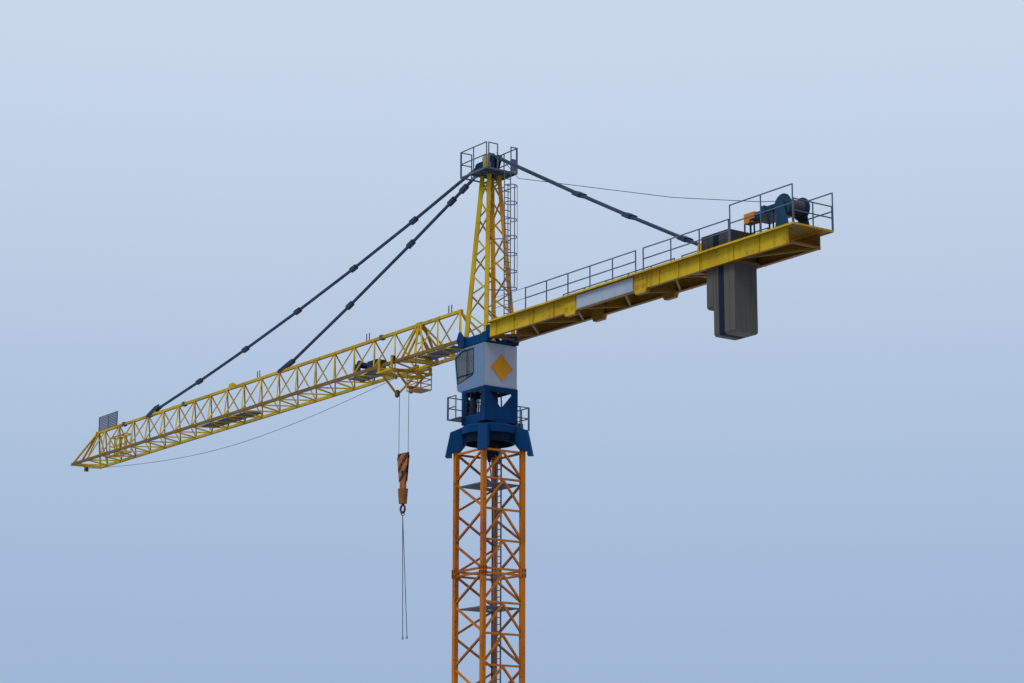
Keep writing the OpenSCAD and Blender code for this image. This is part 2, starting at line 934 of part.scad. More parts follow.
// Floor with the rails that stand on it, both from the turntable's own edges
module walkways() {
  color(grey) {
    z = turn_top - walk_drop;
    x0 = -turn_half - walk_w;
    y0 = -turn_half - strip_w;
    difference() {
      block([x0, y0, z - walk_t], [-turn_half + strip_w, turn_half, z]);
      block([-turn_half, -turn_half, z - walk_t - 1], [turn_half, turn_half + 1, z + 1]);
    }
    rail_along(x0, -turn_half, y0 + rail_s / 2, z, walk_rail, 1);
    rail_across(y0 + rail_s, turn_half, x0 + rail_s / 2, z, walk_rail, 2);
    fz = support_top + walk_t;
    y1 = turn_half + far_walk_w;
    y2 = ring_r + 2 * walk_t;
    block([far_walk_x0, y2 - walk_t, fz], [far_walk_x1, y1, fz + walk_t]);
    block([far_walk_x0, y2 - walk_t, fz], [far_walk_x1, y2, turn_top]);
    block([far_walk_x0, turn_half, turn_top - walk_t], [far_walk_x1, y2, turn_top]);
    rail_along(far_walk_x0, far_walk_x1, y1 - rail_s / 2, fz + walk_t, walk_rail, 2);
    for (x = [far_walk_x0 + rail_s / 2, far_walk_x1 - rail_s / 2])
      rail_across(y2, y1 - rail_s, x, fz + walk_t, walk_rail, 2);
    block([far_walk_x1 - 100, turn_half + far_walk_w / 3, fz + walk_t],
      [far_walk_x1 - rail_s, turn_half + far_walk_w * 0.7, fz + walk_t + walk_rail / 4]);
  }
}

// Side outline of the cab, d inside its walls
module cab_outline(d) {
  polygon([[-cab_front + d, cab_z + floor_rise + d], [-cab_front + 1.5 * floor_rise + d, cab_z + d],
    [cab_rear - d, cab_z + d], [cab_rear - d, cab_z + cab_h - d],
    [brow_x + d / 4, cab_z + cab_h - roof_fall - d],
    [-cab_front - screen_lean + d, cab_z + brow_up - d / 2]]);
}

// The windscreen's place at z
function screen_at(z) = -cab_front - screen_lean * (z - cab_z - floor_rise) / (brow_up - floor_rise);

// Outline of a side window with a round lower rear corner
module side_window() {
  z0 = cab_z + pane_front_up;
  z1 = cab_z + pane_up;
  x0 = screen_at(z0) + screen_edge;
  fall = atan2(z1 - z0, pane_rear - x0);
  mid = [pane_rear - pane_r, z1 + pane_r * 0.9];
  polygon(concat([[x0, z0]], [for (k = [0 : 6]) mid + pane_r * [cos(fall - 90 + k * (90 - fall) / 6),
      sin(fall - 90 + k * (90 - fall) / 6)]],
    [[pane_rear, cab_z + cab_h - pane_top], [brow_x, cab_z + cab_h - roof_fall - pane_top],
      [screen_at(cab_z + brow_up) + screen_edge, cab_z + brow_up - pane_top * 0.6]]));
}

// The windscreen's opening, or its pane where t is the pane's thickness
module screen_part(t) {
  z0 = cab_z + pane_front_up;
  z1 = cab_z + brow_up - pane_top;
  out = t > 0 ? 0 : 20;
  in = t > 0 ? t : 2 * cab_t;
  panel(2 * (cab_half - screen_edge))
    polygon([[screen_at(z0) - out, z0], [screen_at(z0) + in, z0], [screen_at(z1) + in, z1],
      [screen_at(z1) - out, z1]]);
}

module tower_posts() {
  color(blue)
  corners(post_x)
    translate([-inner_post / 2, -inner_post / 2, cab_z]) cube([inner_post, inner_post, frame_z - cab_z]);
}

// Bars that split a side window, in a side drawing
module mullions() {
  intersection() {
    side_window();
    union() {
      field([mullion_x - mullion_w / 2, cab_z], [mullion_x + mullion_w / 2, cab_z + cab_h]);
      field([-cab_front - screen_lean, cab_z + mullion_up - mullion_w / 2],
        [cab_rear, cab_z + mullion_up + mullion_w / 2]);
    }
  }
}

module cab_shell() {
  color([0.82, 0.84, 0.84]) {
    difference() {
      panel(2 * cab_half) cab_outline(0);
      panel(2 * cab_half - 2 * cab_t) cab_outline(cab_t);
      panel(2 * cab_half + 2) side_window();
      screen_part(0);
      corners(post_x)
        translate([-inner_post / 2, -inner_post / 2, cab_z - 1]) cube([inner_post, inner_post,
          frame_z - cab_z]);
    }
    both_sides()
      panel(cab_t - pane_t, -cab_half + (cab_t - pane_t) / 2) mullions();
    panel(door_t, cab_half + door_t / 2)
      field([cab_rear - door_w - cab_t, cab_z + cab_t], [cab_rear - cab_t, cab_z + cab_t + door_h]);
  }
}

module cab_glass() {
  color([0.2, 0.26, 0.3]) {
    both_sides()
      panel(pane_t, -cab_half + cab_t - pane_t / 2) side_window();
    screen_part(pane_t);
  }
}

// Truss drawing between the corner blocks across the head frame
module frame_truss() {
  y = frame_half - corner_s;
  for (z = [frame_z, frame_z + beam_h - frame_bar])
    field([-y - cheek_t, z], [y + cheek_t, z + frame_bar]);
  for (k = [0 : 3]) {
    s = k % 2 == 0 ? 0 : 1;
    intersection() {
      strut([-y + k * y / 2, frame_z + frame_bar / 2 + s * (beam_h - frame_bar)],
        [-y + (k + 1) * y / 2, frame_z + frame_bar / 2 + (1 - s) * (beam_h - frame_bar)], frame_bar);
      field([-y, frame_z], [y, frame_z + beam_h]);
    }
  }
}

module head_frame() {
  inner = frame_half - corner_s;
  color(blue) {
    for (s = [-1, 1])
      cross_panel(beam_w, s * (frame_half - beam_w / 2)) frame_truss();
    both_sides() {
      block([-inner - cheek_t, -frame_half, frame_z],
        [inner + cheek_t, -frame_half + beam_w, frame_z + beam_h]);
      block([-jib_root, -jib_half - chord_s / 2 - cheek_t, frame_z], [-inner, -inner, frame_top]);
      block([inner, -frame_half, frame_z], [girder_root, -inner, frame_top]);
      panel(cheek_t, -jib_half - chord_s / 2 - cheek_t / 2)
        polygon([[-inner, frame_z], [-inner, frame_top], [-frame_half, frame_top + cheek_up],
          [-jib_root - cheek_t, frame_top + cheek_up], [-jib_root - cheek_out, jib_z + cheek_out / 2],
          [-jib_root - cheek_out, jib_under], [-jib_root, frame_z]]);
      block([-jib_root - cheek_out, -jib_half + chord_s / 2, jib_under],
        [-jib_root, -jib_half + chord_s / 2 + cheek_t, jib_z + cheek_out / 2]);
      translate([-jib_root - cheek_out / 2, -jib_half - chord_s / 2 - 1.7 * cheek_t, jib_z])
        rotate([-90, 0, 0]) cylinder(h = cheek_t, r = pin_r, $fn = 24);
      panel(cheek_t, -girder_half - cheek_t / 2)
        polygon([[frame_half - cheek_t, frame_z], [girder_root + cheek_out, girder_z + cheek_t],
          [girder_root + cheek_out, girder_z + girder_h - cheek_t], [girder_root, frame_top + cheek_up],
          [foot_half + leg_s / 2 + cheek_t, frame_top + cheek_up], [foot_half + leg_s / 2 + cheek_t,
            frame_z + beam_h]]);
      translate([girder_root + cheek_out / 2, -girder_half - 1.7 * cheek_t, girder_z + girder_h / 2])
        rotate([-90, 0, 0]) cylinder(h = cheek_t, r = pin_r, $fn = 24);
    }
  }
}

function leg_at(z) = foot_half + (cap_half - foot_half) * (z - frame_top) / (cap_z - frame_top);

module legs(sy) {
  for (sx = [-1, 1])
    intersection() {
      bar([sx * leg_at(frame_top - 100), sy * leg_at(frame_top - 100), frame_top - 100],
        [sx * leg_at(cap_z + 100), sy * leg_at(cap_z + 100), cap_z + 100], leg_s);
      beam(-1000, 1000, 1000, frame_top, cap_z);
    }
}

// Zigzag on one face of the head, in the plane of two legs
module head_zigzag(first) {
  h = (cap_z - frame_top - 200) / head_bays;
  for (k = [0 : head_bays - 1]) {
    s = (k % 2 == 0 ? 1 : -1) * first;
    z0 = frame_top + 100 + k * h;
    bar([s * leg_at(z0), -leg_at(z0), z0], [-s * leg_at(z0 + h), -leg_at(z0 + h), z0 + h], head_brace);
  }
}

module head_near_side() {
  color(yellow) {
    legs(-1);
    head_zigzag(1);
  }
}

module head_far_side() {
  rotate([0, 0, 180]) head_near_side();
}

module head_cross_sides() {
  color(yellow)
  difference() {
    for (a = [90, 270]) rotate([0, 0, a]) head_zigzag(1);
    legs(-1);
    legs(1);
  }
}

module head_cap() {
  outer_z = cap_z + outer_end_up;
  inner_z = cap_z + inner_end_up;
  color(blue) {
    beam(-block_half, block_half, block_half, cap_z, block_top);
    both_sides()
      panel(cheek_t, -link_half - cheek_t / 2) difference() {
        polygon([[-plate_half, block_top], [-block_half, block_top], [-block_half,
          block_top - block_h / 2],
          [-stay_end_x, inner_z - 1.6 * link_h], [-bracket_x, inner_z - link_h / 2], [-bracket_x,
            outer_z + link_h / 2],
          [-stay_end_x, outer_z + 1.6 * link_h], [-plate_half, outer_z + 1.6 * link_h]]);
        polygon([[-block_half - cheek_t, block_top + 2 * cheek_t], [-stay_end_x + 3 * link_h, inner_z],
          [-block_half - cheek_t, inner_z + link_h]]);
      }
    for (z = [outer_z, inner_z]) both_sides()
      translate([-stay_end_x, -link_half - 1.7 * cheek_t, z])
        rotate([-90, 0, 0]) cylinder(h = cheek_t, r = pin_r, $fn = 24);
    both_sides() for (side = [-1, 1])
      panel(lug_t, -tail_end_y + side * (link_half + lug_t / 2))
        polygon([[plate_half + cheek_t, block_top], [block_half, block_top],
          [tail_end_x + link_h, cap_z + tail_end_up - link_h], [tail_end_x + link_h,
            cap_z + tail_end_up + link_h], [tail_end_x - link_h, cap_z + tail_end_up + link_h]]);
  }
}

module head_plates() {
  color(yellow)
  both_sides()
    panel(cheek_t, -plate_half + cheek_t / 2) difference() {
      field([-plate_half, block_top], [plate_half, block_top + plate_h]);
      translate([-plate_half + 2 * pin_r, block_top + plate_h - 2 * pin_r]) circle(r = pin_r, $fn = 32);
    }
}

module head_sheaves() {
  color(grey)
  translate([0, 0, block_top + plate_h - pin_r * 2]) rotate([90, 0, 0]) {
    translate([0, 0, -plate_half + cheek_t]) cylinder(h = 2 * (plate_half - cheek_t), r = pin_r,
      $fn = 32);
    for (s = [-1, 1])
      translate([0, 0, s * plate_half / 3 - head_sheave_w / 2]) rotate_extrude($fn = 64)
        polygon([[0, 0], [head_sheave_r, 0], [head_sheave_r - head_sheave_w / 3, head_sheave_w / 2],
          [head_sheave_r, head_sheave_w], [0, head_sheave_w]]);
  }
}

module head_platform() {
  z = cap_z + deck_bar;
  color(grey) {
    translate([0, 0, cap_z]) linear_extrude(deck_bar) difference() {
      union() {
        frame_field([deck_x0, deck_y0], [deck_x1, deck_y1], deck_bar);
        for (y = [-block_half - deck_bar, block_half]) field([deck_x0, y], [deck_x1, y + deck_bar]);
        for (x = [-block_half - deck_bar, block_half]) field([x, deck_y0], [x + deck_bar, deck_y1]);
      }
      field([-block_half, -block_half], [block_half, block_half]);
    }
    difference() {
      block([-block_half - deck_bar, deck_y0, z], [deck_x1, deck_y1, z + walk_t / 2]);
      beam(-block_half - 2 * deck_bar, block_half, block_half, z - 1, z + walk_t);
    }
    rail_along(deck_x0, deck_x1, deck_y0 + rail_s / 2, z, head_rail, 2);
    rail_along(deck_x0, deck_x1, deck_y1 - rail_s / 2, z, head_rail, 2);
    rail_across(deck_y0 + 3 * rail_s, gate_y0, deck_x1 - rail_s / 2, z, head_rail, 1);
    translate([deck_x1 - rail_s / 2, 0, z]) rotate([0, 0, 90]) panel(rail_s) {
      rail_face(gate_y1, deck_y1 - rail_s, head_rail, 1);
      field([gate_y1, rail_s], [deck_y1 - rail_s, head_rail / 2]);
    }
    rail_across(deck_y0 + rail_s, gate_y0, deck_x0 + rail_s / 2, z, head_rail, 1);
    rail_across(-gate_y0, deck_y1 - rail_s, deck_x0 + rail_s / 2, z, head_rail, 1);
  }
}

module head_ladder() {
  x = deck_x1 + stile_s;
  ring_x = x + sqrt(hoop_r * hoop_r - head_ladder_w * head_ladder_w / 4);
  top = cap_z + deck_bar;
  bottom = frame_top + head_ladder_up;
  hoops = floor((top - bottom) / hoop_gap) - 1;
  color(grey) {
    translate([deck_x1 + stile_s / 2, head_ladder_y, 0]) rotate([0, 0, 90]) panel(stile_s)
      ladder_face(head_ladder_w, bottom, top, head_rung_gap);
    for (k = [1 : hoops]) translate([ring_x, head_ladder_y, top - k * hoop_gap])
      linear_extrude(2 * hoop_s) difference() {
        circle(r = hoop_r, $fn = 32);
        circle(r = hoop_r - hoop_s, $fn = 32);
        field([-2 * hoop_r, -hoop_r], [x - ring_x, hoop_r]);
      }
    for (a = [-60, 0, 60]) translate([ring_x, head_ladder_y, 0]) rotate([0, 0, a])
      beam(hoop_r - hoop_s / 2, hoop_r + hoop_s / 2, hoop_s, top - hoops * hoop_gap,
        top - hoop_gap + 2 * hoop_s);
    difference() {
      for (k = [1 : 3 : hoops]) for (sy = [-1, 1]) {
        z = top - k * hoop_gap - hoop_s;
        bar([deck_x1 + hoop_s / 2, head_ladder_y + sy * (head_ladder_w - stile_s) / 2, z], [leg_at(z),
          sy * leg_at(z), z], 2 * hoop_s);
      }
      legs(-1);
      legs(1);
      beam(deck_x1 + hoop_s, 1000, 1000, bottom, top);
    }
  }
}

function near_x(k) = -jib_root - jib_bay * k;

// Bottom chord and diagonals of one side of the jib; shift is the share of a bay its nodes lie off the root
module jib_side(sy, shift) {
  block([-jib_end, sy * jib_half - chord_s / 2, jib_under], [-jib_root, sy * jib_half + chord_s / 2,
    jib_z + chord_s / 2]);
  for (k = [0 : jib_bays - 2]) {
    apex = [near_x(k + top_shift), 0, jib_top];
    for (d = [0, 1]) bar([near_x(k + shift + d), sy * jib_half, jib_z], apex, jib_brace);
  }
  bar([near_x(jib_bays - 1 + shift), sy * jib_half, jib_z], [-top_end + chord_s, 0, jib_top], jib_brace);
  bar([near_x(0), sy * jib_half, jib_z], [near_x(top_shift), 0, jib_top], joint_post);
  for (d = [-1, 1])
    bar([-joint_x + d * joint_half, sy * jib_half, jib_z], [-joint_x + d * joint_half, 0, jib_top],
      joint_post);
  block([-joint_x - joint_half, sy * (jib_half + chord_s / 2) - (sy < 0 ? joint_plate : 0), jib_under],
    [-joint_x + joint_half, sy * (jib_half + chord_s / 2) + (sy < 0 ? 0 : joint_plate),
      jib_z + chord_s / 4]);
}

module top_chord_bar() {
  beam(-top_end, near_x(top_shift) + chord_s, chord_s / 2, jib_top - chord_s / 2, jib_top + chord_s / 2);
}

// Plates on both sides of the top chord that take a stay's end at x, up over the chord's axis
module stay_lugs(x, up) {
  both_sides()
    panel(lug_t, -chord_s / 2 - lug_t / 2)
      polygon([[-x - 4 * link_h, jib_top - chord_s / 4], [-x + 2 * link_h, jib_top - chord_s / 4],
        [-x + link_h, jib_top + up], [-x + link_h / 2, jib_top + up + link_h], [-x - link_h,
          jib_top + up + link_h], [-x - 4 * link_h, jib_top + chord_s / 2]]);
}

module jib_top_chord() {
  color(yellow) {
    top_chord_bar();
    stay_lugs(outer_stay_x, lug_up);
    panel(chord_s / 2, 0)
      polygon([[-lift_x - 5 * link_h, jib_top], [-lift_x - 5 * link_h, jib_top + 3 * link_h],
        [-lift_x, jib_top + 3.2 * link_h], [-lift_x + 6 * link_h, jib_top]]);
    block([-joint_x - joint_half, -chord_s / 2 - joint_plate, jib_top - chord_s / 2],
      [-joint_x + joint_half, chord_s / 2 + joint_plate, jib_top + chord_s / 2 + joint_plate]);
  }
}

// What reaches past the first or the last node of the jib, or over its middle plane
module past_ends(sy) {
  for (x = [-jib_end - 400, -jib_root])
    translate([x, -jib_half - 100, jib_z - 100]) cube([400, 2 * jib_half + 200, jib_h + 200]);
  block([-jib_end, sy < 0 ? 0 : -100, jib_z], [0, sy < 0 ? 100 : 0, jib_top + 100]);
  beam(-jib_end, 0, jib_half - chord_s / 2, jib_under, jib_z + joint_post / 2);
  beam(-jib_root - cheek_out, 0, jib_half - chord_s / 2, jib_under, jib_z + cheek_out / 2);
}

module trimmed_side(sy, shift) {
  color(yellow)
  difference() {
    jib_side(sy, shift);
    jib_top_chord();
    past_ends(sy);
  }
}

module jib_near_side() {
  trimmed_side(-1, 0);
}

module jib_far_side() {
  trimmed_side(1, far_shift);
}

module jib_bottom_bracing() {
  inner = jib_half - chord_s / 2;
  color(yellow)
  intersection() {
    union() {
      for (k = [0 : jib_bays - 1]) {
        far = [near_x(k + far_shift), jib_half, jib_z];
        for (d = [0, 1]) bar([near_x(k + d), -jib_half, jib_z], far, jib_brace);
      }
      for (d = [-1, 1])
        bar([-joint_x + d * joint_half, -jib_half, jib_z], [-joint_x + d * joint_half, jib_half, jib_z],
          joint_post);
    }
    difference() {
      beam(-jib_end, -jib_root, inner, jib_z - 100, jib_z + 100);
      both_sides()
        block([-jib_root - cheek_out, -inner, jib_z - 100], [0, -inner + cheek_t, jib_z + 100]);
    }
  }
}

module jib_end_frame() {
  tip = -jib_end - chord_s;
  color(yellow) {
    block([tip, -jib_half - chord_s / 2, jib_under], [-jib_end, jib_half + chord_s / 2,
      jib_z + chord_s / 2]);
    translate([0, 0, jib_under]) linear_extrude(chord_s)
      polygon([[tip, -jib_half - chord_s / 2], [tip - nose_l, -jib_half], [tip, -jib_half + chord_s]]);
    beam(-top_end - nose_bar / 2, -top_end, chord_s, jib_top - chord_s, jib_top + chord_s / 2);
    difference() {
      intersection() {
        for (y = [-jib_half, -jib_half / 2, jib_half])
          bar([tip + chord_s / 2, y, jib_z], [-top_end - nose_bar / 4, y * chord_s / jib_half / 2,
            jib_top - chord_s / 2], nose_bar);
        beam(tip, -top_end - tiny, 2 * jib_half, jib_under, jib_top);
      }
      beam(-jib_end, -top_end, jib_half + chord_s, jib_under, jib_z + chord_s / 2);
    }
    for (s = [-1, 1])
      block([tip, s * 2 * sheave_w - lug_t / 2, jib_under - 2 * chord_s], [-jib_end,
        s * 2 * sheave_w + lug_t / 2, jib_under]);
  }
}

// Points of a stay from p to q in shares of its length, hanging down by sag in the middle
function stay_points(p, q, shares, sag) =
  [for (t = concat([0], shares, [1])) p + (q - p) * t - [0, 0, 4 * sag * t * (1 - t)]];

// Stay bars from point to point with couplings between them and round eyes at the ends
module stay_line(pts) {
  n = len(pts) - 1;
  for (k = [0 : n - 1]) bar(pts[k], pts[k + 1], stay_s);
  for (k = [1 : n - 1]) {
    u = (pts[k + 1] - pts[k - 1]) / norm(pts[k + 1] - pts[k - 1]);
    bar(pts[k] - u * link_l, pts[k] + u * link_l, 2.3 * link_h);
  }
  for (k = [0, n]) translate(pts[k] - [0, link_half, 0]) rotate([-90, 0, 0]) cylinder(h = 2 * link_half,
    r = link_h, $fn = 32);
}

module jib_stays() {
  fork = [-inner_stay_x, 0, jib_top + fork_up];
  color(slate) {
    stay_line(stay_points([-outer_stay_x, 0, jib_top + lug_up], [-stay_end_x, 0, cap_z + outer_end_up],
      outer_links, outer_sag));
    stay_line(stay_points(fork, [-stay_end_x, 0, cap_z + inner_end_up], inner_links, inner_sag));
    both_sides()
      panel(lug_t, -chord_s / 2 - lug_t / 2)
        polygon([[-inner_stay_x - fork_l, jib_top - chord_s / 4], [-inner_stay_x - fork_l + 3 * link_h,
          jib_top - chord_s / 4],
          [-inner_stay_x + link_h, jib_top + fork_up - link_h], [-inner_stay_x + link_h,
            jib_top + fork_up + link_h],
          [-inner_stay_x - link_h, jib_top + fork_up + link_h], [-inner_stay_x - fork_l,
            jib_top + link_h]]);
  }
}

// Grating on the bottom bracing
module grating(x0, x1) {
  beam(-x1, -x0, jib_half / 2, jib_z + jib_brace / 2, jib_z + jib_brace / 2 + grate_t);
}

module jib_access() {
  top = jib_top + chord_s / 2;
  color(grey) {
    grating(grate_x0, grate_x1);
    grating(root_grate_x0, root_grate_x1);
    for (x = clamps) difference() {
      block([-x - clamp_l / 2, -chord_s / 2 - clamp_out, jib_top - chord_s / 2 - clamp_out],
        [-x + clamp_l / 2, chord_s / 2 + clamp_out, top + clamp_out]);
      top_chord_bar();
    }
    for (x = rods) for (s = [-1, 1])
      beam(-x + s * clamp_l / 2 - haul_d, -x + s * clamp_l / 2 + haul_d, haul_d, top, top + rod_h);
    translate([-top_end + board_t, 0, top]) panel(board_t) {
      for (x = [0, board_l / 2, board_l - board_t]) field([x, 0], [x + board_t, board_h]);
      for (k = [0 : slats - 1]) field([0, rail_s + k * board_h / slats], [board_l,
        rail_s + (k + 0.62) * board_h / slats]);
    }
  }
}

module maintenance_cage() {
  x0 = -top_end + cage_off;
  z0 = jib_z + jib_brace / 2;
  l = (cage_l - cage_bar) / 3;
  color([0.86, 0.6, 0.1]) {
    both_sides() panel(cage_bar, -cage_w / 2 + cage_bar / 2)
      for (k = [0 : 2])
        frame_field([x0 + k * l, z0], [x0 + (k + 1) * l + cage_bar, z0 + cage_h], cage_bar);
    for (k = [0 : 3]) for (z = [z0, z0 + cage_h / 2, z0 + cage_h - cage_bar])
      beam(x0 + k * l, x0 + k * l + cage_bar, cage_w / 2 - cage_bar, z, z + cage_bar);
  }
}

module trolley_winch() {
  z = jib_z + jib_brace / 2;
  color([0.16, 0.17, 0.2]) {
    beam(-winch_x - winch_l / 2, -winch_x + winch_l / 2, jib_half / 2, z, z + grate_t);
    for (s = [-1, 1])
      block([-winch_x - tdrum_r - winch_l / 5, s * (tdrum_half + stand_t / 2) - stand_t / 2, z + grate_t],
        [-winch_x + tdrum_r - winch_l / 5, s * (tdrum_half + stand_t / 2) + stand_t / 2,
          z + tdrum_up + stand_t]);
    translate([-winch_x - winch_l / 5, 0, z + tdrum_up]) rotate([90, 0, 0]) {
      translate([0, 0, -tdrum_half]) cylinder(h = 2 * tdrum_half, r = tdrum_r * 0.7, $fn = 48);
      for (s = [-1, 1]) translate([0, 0, s * (tdrum_half - stand_t) - stand_t / 2]) cylinder(h = stand_t,
        r = tdrum_r, $fn = 48);
    }
    block([-winch_x + winch_l / 8, -tdrum_half, z + grate_t], [-winch_x + winch_l / 2 - stand_t,
      tdrum_half / 2, z + tdrum_up]);
  }
}

module tip_sheave() {
  color([0.12, 0.13, 0.15])
  translate([-jib_end - chord_s / 2, -2 * sheave_w + lug_t / 2, jib_under - chord_s]) rotate([-90, 0,
    0]) {
    cylinder(h = 4 * sheave_w - lug_t, r = chord_s / 3, $fn = 32);
    translate([0, 0, sheave_w]) cylinder(h = 2 * sheave_w - lug_t, r = chord_s * 0.9, $fn = 48);
  }
}

// Channel girder on the near side with its joint blocks, doubler and stay lugs
module girder() {
  web = -girder_half + plate_t;
  block([girder_root, -girder_half, girder_z], [girder_end, web, deck_z]);
  for (z = [girder_z, deck_z - plate_t])
    block([girder_root, -girder_half, z], [girder_end, -girder_half + flange_w, z + plate_t]);
  block([girder_root + cheek_out, -girder_half - plate_t / 2, girder_z], [girder_root + doubler_l,
    -girder_half, deck_z]);
  for (x = [splice1_x, splice2_x])
    panel(flange_w + splice_t, -girder_half - splice_t + (flange_w + splice_t) / 2)
      polygon([[x - splice_half, girder_z], [x - splice_half + splice_drop / 2, girder_z - splice_drop],
        [x + splice_half - splice_drop / 2, girder_z - splice_drop], [x + splice_half, girder_z],
        [x + splice_half, deck_z], [x - splice_half, deck_z]]);
}

module tail_lugs() {
  for (s = [-1, 1])
    panel(lug_t, -tail_end_y + s * (link_half + lug_t / 2))
      polygon([[tail_stay_x - 3 * link_h, deck_z - plate_t], [tail_stay_x + 3 * link_h, deck_z - plate_t],
        [tail_stay_x + link_h, deck_top + tail_up + link_h], [tail_stay_x - link_h,
          deck_top + tail_up + link_h]]);
}

module counterjib_near_girder() {
  color(yellow) girder();
}

module counterjib_far_girder() {
  color(yellow) mirror([0, 1, 0]) girder();
}

module counterjib_bracing() {
  l = (short_x - girder_root) / deck_bays;
  inner = girder_half - plate_t;
  color(yellow) {
    both_sides() tail_lugs();
    beam(tail_stay_x - 3 * link_h, tail_stay_x + 3 * link_h, inner, girder_z + plate_t + deck_brace / 2,
      deck_z - plate_t);
    translate([0, 0, girder_z + plate_t]) linear_extrude(deck_brace) intersection() {
      union() {
        for (k = [0 : deck_bays - 1]) {
          s = k % 2 == 0 ? 1 : -1;
          strut([girder_root + k * l, -s * girder_half], [girder_root + (k + 1) * l, s * girder_half],
            deck_brace);
        }
        for (x = [girder_root + deck_brace / 2, short_x - deck_brace, weight_end + deck_brace,
          girder_end - deck_brace / 2])
          strut([x, -girder_half], [x, girder_half], deck_brace);
        strut([weight_end + deck_brace, -girder_half], [girder_end, girder_half], deck_brace);
      }
      difference() {
        field([girder_root, -inner], [girder_end, inner]);
        both_sides() for (x = [splice1_x, splice2_x])
          field([x - splice_half, -girder_half], [x + splice_half, -girder_half + flange_w]);
      }
    }
  }
}

module counterjib_deck() {
  color(grey)
  difference() {
    beam(girder_root + cheek_out + cheek_t, girder_end + deck_past, deck_half, deck_z, deck_top);
    for (y = [-deck_half + plate_t, -girder_half + flange_w + plate_t, girder_half + plate_t])
      block([girder_root + doubler_l, y, deck_z - 1], [girder_end + deck_past - plate_t,
          y < -girder_half ? -girder_half - plate_t : y < 0 ? girder_half - flange_w - plate_t
          : deck_half - plate_t, deck_z + deck_t / 2]);
    block([short_x - short_gap, -slab_half - short_gap, deck_z - 1], [weight_end + short_gap,
      slab_half + short_gap, deck_top + 1]);
    both_sides() tail_lugs();
  }
}

module counterjib_rails() {
  y = -deck_half + rail_s / 2;
  x1 = girder_end + deck_past;
  color(grey) {
    both_sides() {
      rail_along(rail_x0, gate_x0, y, deck_top, rail_h, floor((gate_x0 - rail_x0) / rail_gap));
      rail_along(gate_x1, high_x, y, deck_top, rail_h, floor((high_x - gate_x1) / rail_gap));
      rail_along(high_x + rail_s, x1, y, deck_top, rail_h + high_up, floor((x1 - high_x) / rail_gap));
    }
    rail_across(-deck_half + rail_s, deck_half - rail_s, x1 - rail_s / 2, deck_top, rail_h, 2);
  }
}

module counterjib_stays() {
  color(slate)
  both_sides()
    stay_line(stay_points([tail_end_x, -tail_end_y, cap_z + tail_end_up],
      [tail_stay_x, -tail_end_y, deck_top + tail_up], tail_links, tail_sag));
}

// One slab seen along the crane, its shoulders on the deck
module slab(x, t, z) {
  translate([x, 0, 0]) rotate([90, 0, 90]) linear_extrude(t)
    polygon([[-slab_half + slab_bevel, z], [slab_half - slab_bevel, z], [slab_half, z + slab_bevel],
      [slab_half, deck_top], [girder_half, deck_top], [girder_half, deck_top + shoulder_h], [-girder_half,
        deck_top + shoulder_h],
      [-girder_half, deck_top], [-slab_half, deck_top], [-slab_half, z + slab_bevel]]);
}

module counterweights() {
  color([0.6, 0.6, 0.58]) {
    for (k = [0 : slabs - 1]) slab(weight_x + k * (slab_t + slab_gap), slab_t, slab_z);
    slab(short_x, short_t, short_z);
  }
}

module hoist_winch() {
  z = deck_top + machine_up;
  x1 = drum_x - flange_r - stand_t;
  color([0.1, 0.3, 0.34]) {
    for (s = [-1, 1])
      panel(stand_t, s * (drum_half + barrel_out + stand_t / 2))
        polygon([[drum_x - flange_r * 0.9, deck_top], [drum_x + flange_r * 0.9, deck_top],
          [drum_x + flange_r / 4, deck_top + drum_up + flange_r / 3],
          [drum_x - flange_r / 4, deck_top + drum_up + flange_r / 3]]);
    for (x = [x1 - hoist_l, x1 - stand_t]) for (y = [-drum_half - stand_t, drum_half])
      block([x, y, deck_top], [x + stand_t, y + stand_t, z]);
    block([x1 - hoist_l, -drum_half - stand_t, z - stand_t], [x1, drum_half + stand_t, z]);
    translate([x1 - hoist_l / 2 - stand_t, -drum_half / 3, z + hoist_r * 0.9]) rotate([0, 90, 0]) {
      cylinder(h = hoist_l / 2, r = hoist_r, $fn = 48);
      translate([0, 0, -hoist_l / 2 + 2 * stand_t]) cylinder(h = hoist_l / 2, r = hoist_r * 0.7,
        $fn = 48);
    }
    block([x1 - hoist_l / 2 - hoist_r, -drum_half / 3 - hoist_r, z], [x1 - hoist_l / 2,
      -drum_half / 3 + hoist_r, z + 2 * hoist_r]);
  }
}

module resistor_cover() {
  z = deck_top + machine_up + cover_lift;
  color([0.8, 0.4, 0.12]) {
    beam(cover_x, cover_x + cover_l, cover_half, z, z + cover_h);
    for (x = [cover_x, cover_x + cover_l - stand_t]) for (y = [-cover_half, cover_half - stand_t])
      block([x, y, deck_top], [x + stand_t, y + stand_t, z]);
  }
}

module winch_drum() {
  color(grey)
  translate([drum_x, 0, deck_top + drum_up]) rotate([90, 0, 0]) {
    translate([0, 0, -drum_half - barrel_out]) cylinder(h = 2 * (drum_half + barrel_out), r = axle_r * 2,
      $fn = 32);
    translate([0, 0, -drum_half]) cylinder(h = 2 * drum_half, r = barrel_r, $fn = 64);
    for (s = [-1, 1])
      translate([0, 0, s * drum_half - barrel_out / 2]) cylinder(h = barrel_out, r = flange_r, $fn = 64);
  }
}

